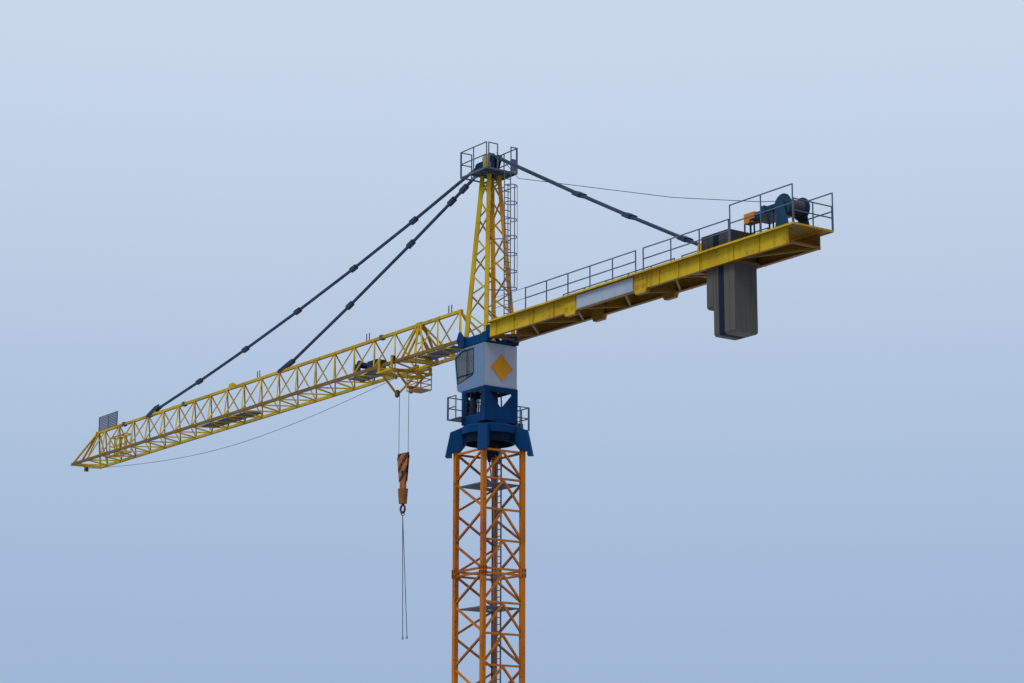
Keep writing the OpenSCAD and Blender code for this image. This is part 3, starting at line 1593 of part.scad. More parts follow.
module trolley_frame() {
  z1 = jib_under - trolley_drop;
  z0 = z1 - trolley_bar;
  side = jib_half + chord_s / 2 + hanger_gap;
  sheave_z = jib_under - sheave_drop;
  sheave_x = fall_gap / 2 + rope_d / 2 + sheave_r;
  a = trolley_half + basket_off;
  b = a + basket_l;
  color(yellow)
  translate([-trolley_x, 0, 0]) {
    translate([0, 0, z0]) linear_extrude(trolley_bar)
      union() {
        frame_field([-trolley_half, -side - trolley_bar], [trolley_half, side + trolley_bar],
          trolley_bar);
        for (s = [-1, 1]) strut([-trolley_half, 0], [0, s * side], trolley_bar);
        for (s = [-1, 1]) strut([trolley_half, 0], [0, s * side], trolley_bar);
        field([-trolley_half, -trolley_bar / 2], [trolley_half, trolley_bar / 2]);
      }
    both_sides() {
      for (sx = [-1, 1])
        block([sx * (trolley_half - wheel_r) - trolley_bar, -side - trolley_bar / 2, z1],
          [sx * (trolley_half - wheel_r) + trolley_bar, -side, jib_z + chord_s / 2 + 2 * wheel_r]);
      for (sx = [-1, 1]) {
        panel(trolley_plate, -sheave_gap - trolley_plate / 2)
          field([sx * sheave_x - trolley_bar, sheave_z - 1.4 * pin_r],
            [sx * sheave_x + trolley_bar, sheave_z + 2 * pin_r]);
        cross_panel(trolley_bar, sx * sheave_x) difference() {
          strut([-sheave_gap, sheave_z - trolley_plate], [-jib_half, z0 + trolley_bar / 2],
            trolley_bar * 0.9);
          field([-sheave_gap - tiny, sheave_z - sheave_r], [sheave_gap, sheave_z + sheave_r]);
        }
      }
      panel(trolley_plate, -basket_half + trolley_plate / 2) basket_face(a, b);
      block([trolley_half, -basket_half, z0], [b, -basket_half + trolley_bar, z1]);
    }
    for (x = [a, b - trolley_plate])
      cross_panel(trolley_plate, x + trolley_plate / 2) basket_face(-basket_half, basket_half);
    beam(a, b, basket_half, z0 - basket_h, z0 - basket_h + trolley_plate);
  }
}

// Face drawing of one side of the basket from a to b
module basket_face(a, b) {
  z = jib_under - trolley_drop - trolley_bar - basket_h;
  for (x = [a, b - rail_s]) field([x, z], [x + rail_s, z + basket_h]);
  for (k = [0 : 3]) field([a, z + k * basket_h / 4], [b, z + k * basket_h / 4 + rail_s]);
}

module trolley_wheels() {
  y0 = jib_half + chord_s / 2 - tread_w;
  y1 = jib_half + chord_s / 2 + hanger_gap;
  color(grey)
  translate([-trolley_x, 0, 0]) {
    translate([0, 0, jib_z + chord_s / 2 + wheel_r + run_gap])
      for (sx = [-1, 1]) both_sides()
        translate([sx * (trolley_half - wheel_r), -y0, 0]) rotate([90, 0, 0]) {
          cylinder(h = wheel_w, r = wheel_r, $fn = 48);
          cylinder(h = y1 - y0, r = axle_r, $fn = 24);
        }
    for (sx = [-1, 1])
      translate([sx * (fall_gap / 2 + rope_d / 2 + sheave_r), sheave_w / 2, jib_under - sheave_drop])
        rotate([90, 0, 0]) {
        cylinder(h = sheave_w, r = sheave_r, $fn = 64);
        translate([0, 0, sheave_w / 2 - sheave_gap]) cylinder(h = 2 * sheave_gap, r = pin_r, $fn = 24);
      }
  }
}

module trolley_falls() {
  color([0.1, 0.1, 0.1])
  translate([-trolley_x, 0, 0])
    for (sx = [-1, 1])
      bar([sx * fall_gap / 2, 0, block_z], [sx * fall_gap / 2, 0, jib_under - sheave_drop], rope_d, 6);
}

// Outline of a hook block cheek with round upper corners, from its foot up
module cheek_outline() {
  polygon(concat([[cheek_foot, 0]], [for (a = [0 : 15 : 90]) [cheek_top - cheek_r + cheek_r * cos(a),
      cheek_h - cheek_r + cheek_r * sin(a)]],
    [for (a = [90 : 15 : 180]) [-cheek_top + cheek_r + cheek_r * cos(a),
      cheek_h - cheek_r + cheek_r * sin(a)]], [[-cheek_foot, 0]]));
}

module hook_cheeks() {
  sheave_x = fall_gap / 2 - rope_d / 2 - block_sheave_r;
  sheave_z = cheek_h - block_sheave_r - cheek_plate * 4;
  color([0.75, 0.4, 0.1])
  translate([-trolley_x, 0, block_z - cheek_h]) {
    both_sides() {
      panel(cheek_plate, -cheek_gap - cheek_plate / 2) difference() {
        cheek_outline();
        translate([0, cheek_h / 3]) circle(r = cheek_foot / 3, $fn = 24);
      }
      for (s = [-1, 1])
        translate([s * sheave_x, -cheek_gap - cheek_plate * 1.6, sheave_z]) rotate([-90, 0, 0])
          cylinder(h = cheek_plate, r = pin_r, $fn = 24);
    }
    for (s = [-1, 1]) translate([s * sheave_x, 0, sheave_z]) rotate([90, 0, 0]) {
      translate([0, 0, -sheave_w / 2]) cylinder(h = sheave_w, r = block_sheave_r, $fn = 64);
      translate([0, 0, -cheek_gap]) cylinder(h = 2 * cheek_gap, r = pin_r, $fn = 24);
    }
    for (s = [-1, 1])
      beam(s * fall_gap / 2 - rope_d * 1.5, s * fall_gap / 2 + rope_d * 1.5, cheek_gap,
        cheek_h - 1.5 * cheek_r / 2, cheek_h);
    beam(-neck_half, neck_half, cheek_gap, 0, neck_half);
  }
}

module hook_weight() {
  foot = -neck_h - load_h;
  color([0.75, 0.4, 0.1])
  translate([-trolley_x, 0, block_z - cheek_h])
    difference() {
      union() {
        beam(-neck_half, neck_half, neck_t, -neck_h, 0);
        translate([0, 0, foot]) cylinder(h = load_h, r1 = load_foot, r2 = load_top, $fn = 48);
      }
      translate([0, 0, foot - 1]) cylinder(h = shank_in + 1 + run_gap, r = shank_r + run_gap, $fn = 48);
    }
}

module hook() {
  color([0.2, 0.2, 0.2])
  translate([-trolley_x, 0, block_z - cheek_h - neck_h - load_h - bowl_drop]) {
    translate([0, 0, bowl_r]) cylinder(h = bowl_drop - bowl_r + shank_in, r = shank_r, $fn = 48);
    rotate([90, 0, 0])
      rotate_extrude($fn = 64) translate([bowl_r, 0, 0]) circle(r = hook_s, $fn = 24);
  }
}

module sling() {
  seat_z = -bowl_r + hook_s + run_gap;
  foot_z = seat_z - 2 * link_w + link_d;
  color([0.15, 0.15, 0.15])
  translate([-trolley_x, 0, block_z - cheek_h - neck_h - load_h - bowl_drop]) {
    translate([0, 0, seat_z - link_w + link_d]) rotate([0, 90, 0])
      rotate_extrude($fn = 48) translate([link_w - link_d / 2, 0, 0]) circle(r = link_d / 2, $fn = 16);
    for (x = sling_feet) {
      bar([x / 60, 0, foot_z], [x, 0, foot_z - sling_l], sling_d, 6);
      translate([x, 0, foot_z - sling_l - link_w / 2]) rotate([90, 0, 0])
        rotate_extrude($fn = 32) translate([link_w / 2, 0, 0]) circle(r = sling_d / 2, $fn = 12);
    }
  }
}

base_frame();
mast_near_side();
mast_far_side();
mast_jib_side();
mast_counter_side();
mast_ladders();
mast_platforms();
slewing_support();
slewing_ring();
turntable();
turntable_columns();
slewing_drives();
walkways();
tower_posts();
cab_shell();
cab_glass();
head_frame();
head_near_side();
head_far_side();
head_cross_sides();
head_cap();
head_plates();
head_sheaves();
head_platform();
head_ladder();
jib_top_chord();
jib_near_side();
jib_far_side();
jib_bottom_bracing();
jib_end_frame();
tip_sheave();
jib_stays();
jib_access();
maintenance_cage();
trolley_winch();
counterjib_near_girder();
counterjib_far_girder();
counterjib_bracing();
counterjib_deck();
counterjib_rails();
counterjib_stays();
counterweights();
hoist_winch();
resistor_cover();
winch_drum();
trolley_frame();
trolley_wheels();
trolley_falls();
hook_cheeks();
hook_weight();
hook();
sling();
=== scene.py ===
# %% [markdown]
# # A tower crane against the sky
# The crane is already built as solids, each with its real size and its joint.
# This lesson dresses them. It gives every part its paint, rust, concrete or
# glass, and adds the small things that are left out of a solid: bolts, cooling
# fins, window seals, the wound rope and the ropes that run free.
# All sizes are in metres, in the crane's own frame: +Z goes up the mast, the
# jib points along -X and the counter-jib along +X. The camera looks from the
# side of -Y, so that side is called near and the other one far.

# %% Load the solids
import math
from itertools import product

import bmesh
import bpy
from mathutils import Matrix, Vector


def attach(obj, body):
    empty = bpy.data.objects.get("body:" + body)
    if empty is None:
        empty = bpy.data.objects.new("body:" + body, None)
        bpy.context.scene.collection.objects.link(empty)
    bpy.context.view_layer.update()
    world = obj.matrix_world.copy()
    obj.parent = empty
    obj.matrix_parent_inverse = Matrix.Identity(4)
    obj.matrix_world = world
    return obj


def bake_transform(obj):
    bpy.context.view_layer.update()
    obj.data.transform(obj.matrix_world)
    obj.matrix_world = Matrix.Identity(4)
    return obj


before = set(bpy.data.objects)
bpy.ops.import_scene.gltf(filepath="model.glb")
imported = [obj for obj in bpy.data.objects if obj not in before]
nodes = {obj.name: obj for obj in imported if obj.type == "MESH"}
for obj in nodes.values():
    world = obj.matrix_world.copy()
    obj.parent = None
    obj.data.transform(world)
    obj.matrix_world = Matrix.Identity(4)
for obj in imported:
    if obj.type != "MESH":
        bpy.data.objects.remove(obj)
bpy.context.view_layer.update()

# %% [markdown]
# ## The camera
# The photograph was taken from the ground with a long lens, looking up at the
# crane past one corner of its mast. A camera is three directions and a place.
# Angles could turn it too, but we write the directions out, because they can be
# checked one by one: right, up, and backwards are the columns of its matrix.

# %% Place the camera
PHOTO_WIDTH = 1024
FOCAL_PIXELS = 2300
SENSOR_WIDTH = 36.0
CAMERA_PLACE = (41.175, -29.085, -0.84)
yaw, pitch, roll = (math.radians(a) for a in (54.20, 12.97, 0.15))

level = Vector((-math.sin(yaw), math.cos(yaw), 0))
right = Vector((math.cos(yaw), math.sin(yaw), 0))
forward = level * math.cos(pitch) + Vector((0, 0, math.sin(pitch)))
up = right.cross(forward)
rolled_right = right * math.cos(roll) + up * math.sin(roll)
rolled_up = up * math.cos(roll) - right * math.sin(roll)

lens = bpy.data.cameras.new("camera")
lens.sensor_width = SENSOR_WIDTH
lens.lens = FOCAL_PIXELS / PHOTO_WIDTH * SENSOR_WIDTH
lens.clip_start, lens.clip_end = 0.5, 500
camera = bpy.data.objects.new("camera", lens)
camera.matrix_world = Matrix((rolled_right, rolled_up, -forward)).transposed().to_4x4()
camera.location = CAMERA_PLACE
bpy.context.scene.collection.objects.link(camera)
bpy.context.scene.camera = camera
print("the lens is", round(lens.lens, 1), "mm long")

# %% [markdown]
# ## Colours
# A colour is easiest to name as it looks on a screen, from 0 to 255. Blender
# works with light, so each number goes through the screen's curve first.


# %% Screen colours
def colour(red, green, blue):
    """A colour named as on a screen, as light."""
    return tuple(((c / 255 + 0.055) / 1.055) ** 2.4 for c in (red, green, blue)) + (1.0,)


# %% [markdown]
# ## Sums on sockets
# Weathered paint is a sum of many faint effects, and sums are easier to read as
# Python than as a web of nodes. `Wire` wraps a socket, so that `dirt * 0.5 + 1`
# adds its Math nodes by itself, and `above` and `below` turn a number into a
# mask with a soft edge.


# %% Wire
class Wire:
    """A socket that can be used in sums."""

    def __init__(self, finish, socket):
        self.finish, self.socket = finish, socket

    def sum(self, operation, first, second=0.0):
        values = {0: first, 1: second}
        return self.finish.add("ShaderNodeMath", {"operation": operation}, values)

    def __add__(self, other):
        return self.sum("ADD", self, other)

    def __sub__(self, other):
        return self.sum("SUBTRACT", self, other)

    def __rsub__(self, other):
        return self.sum("SUBTRACT", other, self)

    def __mul__(self, other):
        return self.sum("MULTIPLY", self, other)

    __radd__ = __add__
    __rmul__ = __mul__

    def wave(self):
        return self.sum("SINE", self)

    def above(self, level, soft):
        """0 up to level, 1 from level + soft, and a smooth step between."""
        values = {"Value": self, "From Min": level, "From Max": level + soft}
        return self.finish.add("ShaderNodeMapRange", {"interpolation_type": "SMOOTHSTEP"}, values)

    def below(self, level, soft):
        """1 down from level - soft, 0 from level on, and a smooth step between."""
        return (0 - self).above(-level, soft)


# %% [markdown]
# ## One finish, one material
# `Finish` is a material under construction. Its `add` makes any node: the
# settings are set first, then the inputs, with numbers or with links. Every
# pattern reads the place on the object, so nothing slides when the crane turns.


# %% Finish
class Finish:
    """A material under construction."""

    def __init__(self, name, **shader):
        self.material = bpy.data.materials.new(name)
        self.material.use_nodes = True
        self.tree = self.material.node_tree
        self.shader = self.tree.nodes["Principled BSDF"]
        for socket, value in shader.items():
            self.put(self.shader.inputs[socket.replace("_", " ")], value)
        self.place = self.add("ShaderNodeTexCoord", out="Object")
        normal = self.add("ShaderNodeNewGeometry", out="Normal")
        self.facing_up = self.add("ShaderNodeSeparateXYZ", values={0: normal}, out="Z")

    def put(self, socket, value):
        if isinstance(value, Wire):
            self.tree.links.new(value.socket, socket)
        else:
            socket.default_value = value

    def add(self, kind, settings=None, values=None, out=0):
        node = self.tree.nodes.new(kind)
        for name, value in (settings or {}).items():
            setattr(node, name, value)
        for name, value in (values or {}).items():
            self.put(node.inputs[name], value)
        return Wire(self, node.outputs[out])

    def axis(self, letter):
        """The place along X, Y or Z."""
        return self.add("ShaderNodeSeparateXYZ", values={0: self.place}, out=letter)

    def stretched(self, *scale):
        """The place on the object, drawn out or pressed together."""
        return self.add("ShaderNodeMapping", values={"Vector": self.place, "Scale": scale})

    def noise(self, scale, detail=4.0, place=None):
        values = {"Vector": place or self.place, "Scale": scale, "Detail": detail}
        return self.add("ShaderNodeTexNoise", values=values)

    def mix(self, share, first, second):
        """The first colour where share is 0, the second where it is 1."""
        values = {"Factor": share, "A": first, "B": second}
        settings = {"data_type": "RGBA", "blend_type": "MIX"}
        return self.add("ShaderNodeMix", settings, values, "Result")

    def surface(self, tone, roughness):
        self.put(self.shader.inputs["Base Color"], tone)
        self.put(self.shader.inputs["Roughness"], roughness)

    def bump(self, height, depth):
        values = {"Height": height, "Strength": 0.6, "Distance": depth}
        self.put(self.shader.inputs["Normal"], self.add("ShaderNodeBump", values=values))


# %% [markdown]
# ## Weathered paint and painted shade
# Out in the weather a crane's paint fades in broad patches, rain draws dirt down
# in streaks and rust comes through in spots. Faces that look down take the dark
# colour too: partly brown from the weather, partly painted shade. A painted
# picture could show that, but it would not fit the next crane. Here each effect
# is one mask laid over the last colour. A mask of its own can be handed in for a
# place that wears the dark colour all over, some stained and some in painted
# shade, and floors get the pattern of open grating, with painted shade in its holes.

# %% Paint
PATCHES, STREAKS, SPECKS, GRAIN = 0.9, 7.0, 16.0, 90.0
STREAK_SQUEEZE = 0.12
GRATING_WAVES = 210.0
PAINT_RELIEF = 0.002


def paint(name, fresh, faded, dirt_and_shade, rust=(96, 50, 26), rusty=0.5, dirt_and_shade_amount=0.5, rough=0.5,
          stains_and_shade=None, grated=False, shine=0.2):
    """Paint in screen colours. Rusty says how much rust shows, and the dirt-and-shade amount how
    much dirt and painted shade.
    """
    finish = Finish(name, Specular_IOR_Level=shine)
    patches = finish.noise(PATCHES, 5.0)
    streaks = finish.noise(STREAKS, 5.0, finish.stretched(1, 1, STREAK_SQUEEZE))
    specks = finish.noise(SPECKS, 8.0)
    grain = finish.noise(GRAIN, 3.0)
    tone = finish.mix(patches.above(0.42, 0.22), colour(*fresh), colour(*faded))
    tone = finish.mix(streaks.above(0.50, 0.25) * (0.55 * dirt_and_shade_amount), tone, colour(*dirt_and_shade))
    # Faces that look down take the dark colour: painted shade, together with their brown dirt.
    underside_dirt_and_shade = finish.facing_up.below(-0.25, 0.6)
    tone = finish.mix(underside_dirt_and_shade * min(1.0, 0.5 + 0.5 * dirt_and_shade_amount), tone, colour(*dirt_and_shade))
    # A mask handed in lays the dark colour on its place: some masks mark stains, some painted
    # shade.
    if stains_and_shade:
        tone = finish.mix(stains_and_shade(finish) * 0.9, tone, colour(*dirt_and_shade))
    if grated:
        across, along_it = (finish.axis(a) * GRATING_WAVES for a in "XY")
        # The holes of the grating take the dark colour: painted shade in the openings.
        painted_shade_holes = (across.wave() * along_it.wave()).above(0.0, 0.3)
        flat = (finish.facing_up * finish.facing_up).above(0.7, 0.2)
        tone = finish.mix(painted_shade_holes * flat * 0.8, tone, colour(*dirt_and_shade))
    spots = specks.above(0.66 - 0.10 * rusty, 0.06) * patches.above(0.40, 0.2)
    tone = finish.mix(spots * (0.9 * min(1.0, rusty * 1.6)), tone, colour(*rust))
    finish.surface(tone, rough + spots * 0.3 + patches * 0.1)
    finish.bump(specks * 0.7 + grain * 0.3, PAINT_RELIEF)
    return finish.material


# %% [markdown]
# ## Masks for stains and painted shade
# Some places differ in colour. On the real crane the lower chord on the near side
# has gone brown, and the legs of the resistor's stand are a darker colour.
# Between the girders of the counter-jib, on the cab's side walls and low on the
# drum, the darker colour is painted shade. Splitting the solids would do it as
# well. A mask from the place is lighter, because it needs only the levels where
# the colour changes.

# %% Masks
CHORD_TOP, CHORD_INNER = 10.87, -0.41
GIRDER_INNER, GIRDER_FLANGE = 0.402, 11.012
CAB_WALL = 0.440
DRUM_RADIUS_SQUARED, CLAW_TOP = 0.355, 8.608
STAND_TOP = 11.488
SHARP = 0.001


def low_near_chord(finish):
    """1 on the lower chord that is nearest to the camera."""
    low = finish.axis("Z").below(CHORD_TOP, 0.01)
    return low * finish.axis("Y").below(CHORD_INNER, 0.005) * 0.85


def shade_between_girders(finish):
    """1 between the two girders of the counter-jib and under its deck, for painted shade."""
    y = finish.axis("Y")
    between = y.below(GIRDER_INNER, SHARP) * y.above(-GIRDER_INNER, SHARP)
    return between * finish.axis("Z").below(GIRDER_FLANGE, SHARP)


def shade_on_cab_sides(finish):
    """1 on the cab's two side walls, whose bluer grey than the rear is painted shade."""
    y = finish.axis("Y")
    return (y * y).above(CAB_WALL * CAB_WALL, SHARP)


def shade_low_on_drum(finish):
    """1 on the lower part of the blue drum, between its claws, for painted shade."""
    x, y = finish.axis("X"), finish.axis("Y")
    barrel = (x * x + y * y).below(DRUM_RADIUS_SQUARED, 0.002)
    return barrel * finish.axis("Z").below(CLAW_TOP, 0.002)


def stand_legs(finish):
    """1 on the dark legs under the resistor's cover."""
    return finish.axis("Z").below(STAND_TOP, SHARP)


# %% [markdown]
# ## The crane's paints
# The jib and the counter-jib are yellow, the mast a rusty orange, the turning
# part deep blue and the cab pale grey. Each paint is named with its fresh
# colour, its faded colour and a dark colour that serves for its dirt and for
# painted shade.

# %% Yellows and oranges
YELLOW = (188, 160, 14), (172, 138, 22)
yellow = paint("weathered_yellow", *YELLOW, (84, 56, 20), dirt_and_shade_amount=0.7)
brown_yellow = paint("browned_yellow", *YELLOW, (78, 54, 28), dirt_and_shade_amount=0.7, stains_and_shade=low_near_chord)
# Between the girders and under the deck this yellow wears its brown dark colour as painted shade.
deck_yellow = paint("yellow_with_painted_shade", *YELLOW, (104, 70, 20), dirt_and_shade_amount=0.9, stains_and_shade=shade_between_girders)
orange_yellow = paint("orange_yellow", (204, 146, 12), (186, 124, 16), (98, 56, 20), rusty=0.7)
trolley_yellow = paint("trolley_yellow", (184, 148, 12), (160, 120, 16), (98, 62, 16),
                       (112, 60, 18), rusty=0.8, dirt_and_shade_amount=0.8)
mast_orange = paint("rusty_orange", (176, 102, 14), (150, 82, 14), (70, 36, 20),
                    rusty=0.9, dirt_and_shade_amount=0.8)
cover_orange = paint("cover_orange", (204, 120, 12), (184, 104, 14), (40, 32, 28),
                     rusty=0.5, stains_and_shade=stand_legs)
sign_orange = paint("sign_orange", (206, 148, 14), (190, 130, 18), (128, 78, 22),
                    rusty=0.15, dirt_and_shade_amount=0.3)

# %% Blues, greys and dark steel
BLUE = (0, 54, 100), (0, 46, 86), (4, 18, 34), (30, 34, 44)
blue = paint("deep_blue", *BLUE, rusty=0.15, dirt_and_shade_amount=0.6, shine=0.06)
# Low on the drum, between its claws, the blue turns nearly black as painted shade.
drum_blue = paint("drum_blue", *BLUE, rusty=0.15, dirt_and_shade_amount=0.6, stains_and_shade=shade_low_on_drum, shine=0.06)
teal = paint("winch_teal", (14, 58, 88), (12, 48, 74), (10, 26, 40), rusty=0.2, rough=0.35)
# The cab grey's dark colour is a blue grey, laid on the side walls as painted shade.
pale_grey = paint("cab_grey", (158, 168, 182), (148, 160, 178), (88, 118, 152),
                  rusty=0.1, dirt_and_shade_amount=0.35, stains_and_shade=shade_on_cab_sides, shine=0.1)
board_white = paint("board_white", (152, 164, 180), (142, 154, 172), (104, 112, 126),
                    rusty=0.1, dirt_and_shade_amount=0.4)
slate = paint("stay_slate", (46, 62, 84), (38, 52, 72), (26, 30, 42), rusty=0.2, shine=0.1)
steel_grey = paint("galvanised_grey", (88, 100, 118), (72, 84, 102), (40, 43, 50),
                   rusty=0.25, dirt_and_shade_amount=1.0, rough=0.55, grated=True)
machine = paint("machine_dark", (30, 44, 66), (24, 34, 52), (16, 18, 24), rusty=0.3, rough=0.4)
seal_black = paint("seal_black", (16, 20, 28), (26, 30, 38), (12, 12, 14),
                   rusty=0.0, rough=0.7, shine=0.1)
bolt_rust = paint("rusted_bolts", (110, 64, 30), (84, 50, 30), (50, 30, 20), rusty=0.9)
oiled = paint("oiled_steel", (62, 62, 64), (46, 46, 50), (28, 26, 24), rusty=0.5, rough=0.35)
oiled.node_tree.nodes["Principled BSDF"].inputs["Metallic"].default_value = 0.6
print("painted", len(bpy.data.materials), "finishes so far")

# %% [markdown]
# ## Concrete
# The counterweights are cast slabs. Concrete is a patchy grey with small pits,
# darker where water has run over its shoulders. Noise at three sizes gives the
# patches, the runs and the pits. The far ends of the shoulders keep a cooler
# grey than the rest, and one slab is painted a dark sea blue.

# %% Concrete
FAR_SHOULDER = 0.40
SHOULDER_FOOT = 10.9
BLUE_SLAB = 8.159, 8.315


def concrete():
    finish = Finish("cast_concrete", Specular_IOR_Level=0.2)
    x, y, z = (finish.axis(a) for a in "XYZ")
    clouds = finish.noise(1.6, 8.0)
    runs = finish.noise(9.0, 4.0, finish.stretched(1, 1, 0.08))
    pits = finish.noise(55.0, 2.0)
    tone = finish.mix(clouds.above(0.36, 0.3), colour(92, 100, 112), colour(108, 112, 120))
    tone = finish.mix(y.below(FAR_SHOULDER, 0.01), tone, colour(82, 80, 77))
    tone = finish.mix(runs.above(0.52, 0.2) * 0.5, tone, colour(52, 56, 64))
    tone = finish.mix(z.above(SHOULDER_FOOT, 0.2) * 0.6, tone, colour(48, 52, 60))
    tone = finish.mix(pits.above(0.66, 0.05), tone, colour(50, 52, 56))
    painted_slab = x.above(BLUE_SLAB[0], 0.002) * x.below(BLUE_SLAB[1], 0.002)
    tone = finish.mix(painted_slab, tone, colour(8, 28, 46))
    finish.surface(tone, 0.9)
    finish.bump(clouds + pits * -0.6, 0.004)
    return finish.material


cast = concrete()

# %% [markdown]
# ## Rope and glass
# Wire rope is a twist of dark greasy strands. Modelled strands would cost
# thousands of faces, so a wave that leans along the rope stands for them. The
# cab's tinted panes mostly mirror the sky, and a thin film of dust dulls them.


# %% Rope and glass
def wire_rope():
    finish = Finish("greased_rope")
    x, y, z = (finish.axis(a) for a in "XYZ")
    strands = ((x + y + z * 0.8) * 420.0).wave()
    tone = finish.mix(strands * 0.5 + 0.5, colour(26, 27, 30), colour(60, 60, 66))
    finish.surface(tone, 0.6)
    finish.bump(strands, 0.0015)
    return finish.material


def window_glass():
    finish = Finish("tinted_glass", Metallic=0.0, IOR=1.5)
    film = finish.noise(3.0, 4.0)
    tone = finish.mix(film, colour(72, 78, 92), colour(104, 110, 124))
    finish.surface(tone, film * 0.1 + 0.04)
    finish.put(finish.shader.inputs["Alpha"], 0.6)
    return finish.material


rope, glass = wire_rope(), window_glass()

# %% [markdown]
# ## The striped hook block
# The hook block wears slanted black warning stripes over orange, and both are
# rubbed thin. A wave across the slant makes the stripes, and the same noise that
# wears the paint also frays their edges. The weight below is a darker brown.

# %% Stripes
STRIPE_WAVES, STRIPE_SLANT = 19.0, 0.9
STRIPE_FOOT, WEIGHT_TOP = 8.06, 7.876


def striped():
    finish = Finish("striped_orange", Specular_IOR_Level=0.2)
    x, z = finish.axis("X"), finish.axis("Z")
    wear = finish.noise(22.0, 7.0)
    patches = finish.noise(5.0, 5.0)
    bands = ((z - x * STRIPE_SLANT + wear * 0.05) * STRIPE_WAVES).wave()
    tone = finish.mix(patches.above(0.4, 0.25), colour(166, 104, 40), colour(126, 72, 36))
    tone = finish.mix(z.below(WEIGHT_TOP, SHARP) * 0.6, tone, colour(96, 54, 34))
    black = bands.above(-0.05, 0.15) * z.above(STRIPE_FOOT, 0.01)
    tone = finish.mix(black, tone, colour(44, 33, 32))
    tone = finish.mix(wear.above(0.55, 0.08) * 0.75, tone, colour(112, 70, 48))
    finish.surface(tone, wear * 0.3 + 0.4)
    finish.bump(wear, 0.002)
    return finish.material


stripes = striped()
print(len(bpy.data.materials), "finishes in all")

# %% [markdown]
# ## Paint the solids
# Each solid keeps its shape and only changes its material. A table from finish
# to solids shows at a glance what shares a paint.

# %% Which finish goes where
FINISH_OF = {
    orange_yellow: "head_far_side",
    trolley_yellow: "trolley_frame",
    yellow: "head_near_side head_cross_sides head_plates jib_top_chord "
    "jib_far_side jib_bottom_bracing jib_end_frame maintenance_cage",
    deck_yellow: "counterjib_near_girder counterjib_far_girder counterjib_bracing counterjib_deck",
    brown_yellow: "jib_near_side",
    mast_orange: "base_frame mast_near_side mast_far_side mast_jib_side mast_counter_side",
    drum_blue: "slewing_support",
    blue: "turntable turntable_columns tower_posts head_frame head_cap",
    steel_grey: "mast_ladders mast_platforms walkways head_platform head_ladder jib_access "
    "counterjib_rails",
    oiled: "slewing_ring head_sheaves tip_sheave trolley_wheels hook",
    slate: "jib_stays counterjib_stays",
    machine: "slewing_drives trolley_winch",
    pale_grey: "cab_shell",
    glass: "cab_glass",
    cast: "counterweights",
    teal: "hoist_winch winch_drum",
    cover_orange: "resistor_cover",
    rope: "trolley_falls sling",
    stripes: "hook_cheeks hook_weight",
}
for material, names in FINISH_OF.items():
    for name in names.split():
        slots = nodes[name].material_slots
        if not slots:
            nodes[name].data.materials.append(material)
        for place in slots:
            place.material = material
painted = {name for names in FINISH_OF.values() for name in names.split()}
print("bare solids:", sorted(set(nodes) - painted))

# %% [markdown]
# ## Handing over a small piece
# A new piece is drawn as a bmesh and handed to `finished`, which makes it an
# object, gives it its paint and ties it to the body that it moves with. The
# object stays at the origin, and the piece's place is in its mesh.


# %% Finished pieces
def finished(name, mesh, material, body, smooth=False):
    bmesh.ops.recalc_face_normals(mesh, faces=mesh.faces)
    data = bpy.data.meshes.new(name)
    mesh.to_mesh(data)
    mesh.free()
    if smooth:
        data.shade_smooth()
    data.materials.append(material)
    piece = bpy.data.objects.new(name, data)
    bpy.context.scene.collection.objects.link(piece)
    if body:
        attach(piece, body)
    print(name, "has", sum(len(f.vertices) - 2 for f in data.polygons), "triangles")
    return piece


# %% [markdown]
# ## The floor
# The scene has a plain pale floor. The camera stands lower than the crane's
# foot, because the model's mast is short, so the floor is a round plate that
# ends well before it.

# %% Floor
FLOOR_RADIUS = 26
FLOOR_LEVEL = -0.004
FLOOR_SIDES = 96

plate = bmesh.new()
bmesh.ops.create_circle(plate, cap_ends=True, segments=FLOOR_SIDES, radius=FLOOR_RADIUS,
                        matrix=Matrix.Translation((0, 0, FLOOR_LEVEL)))
pale = Finish("pale_floor")
pale.surface(pale.mix(pale.noise(0.3), colour(206, 210, 214), colour(214, 217, 220)), 0.9)
floor = finished("floor", plate, pale.material, None)

# %% [markdown]
# ## The sun
# Thin cloud spreads the sunlight, so the sun is a wide and gentle one. It stands
# high on the near side, and its light is a little warm.

# %% Sun
TO_THE_SUN = (0.15, -0.6, 0.8)
SUN_STRENGTH, SUN_WIDTH = 1.6, 25

lamp = bpy.data.lights.new("soft_sun", "SUN")
lamp.energy, lamp.angle = SUN_STRENGTH, math.radians(SUN_WIDTH)
lamp.color = (1.0, 0.96, 0.9)
sun = bpy.data.objects.new("soft_sun", lamp)
sun.rotation_euler = Vector(TO_THE_SUN).to_track_quat("Z", "Y").to_euler()
bpy.context.scene.collection.objects.link(sun)
print("the sun is", SUN_WIDTH, "degrees wide")

# %% [markdown]
# ## The sky
# What the camera sees behind the crane is not what should light it. So the world
# has two skies: a blue one for camera, mirror and glass rays, and a plain pale
# one that lights the crane. Light Path tells the two kinds of ray apart.

# %% World
world = bpy.data.worlds.new("soft_daylight")
bpy.context.scene.world = world
world.use_nodes = True
air = world.node_tree
air.nodes.clear()


def sky(*stops):
    """A background that changes with the height of the ray above the horizon."""
    direction = air.nodes.new("ShaderNodeTexCoord").outputs["Generated"]
    split = air.nodes.new("ShaderNodeSeparateXYZ")
    air.links.new(direction, split.inputs[0])
    ramp = air.nodes.new("ShaderNodeValToRGB")
    ramp.color_ramp.interpolation = "EASE"
    for stop, (place, tone) in zip(ramp.color_ramp.elements, stops):
        stop.position, stop.color = place, tone
    air.links.new(split.outputs["Z"], ramp.inputs[0])
    background = air.nodes.new("ShaderNodeBackground")
    air.links.new(ramp.outputs[0], background.inputs[0])
    return background


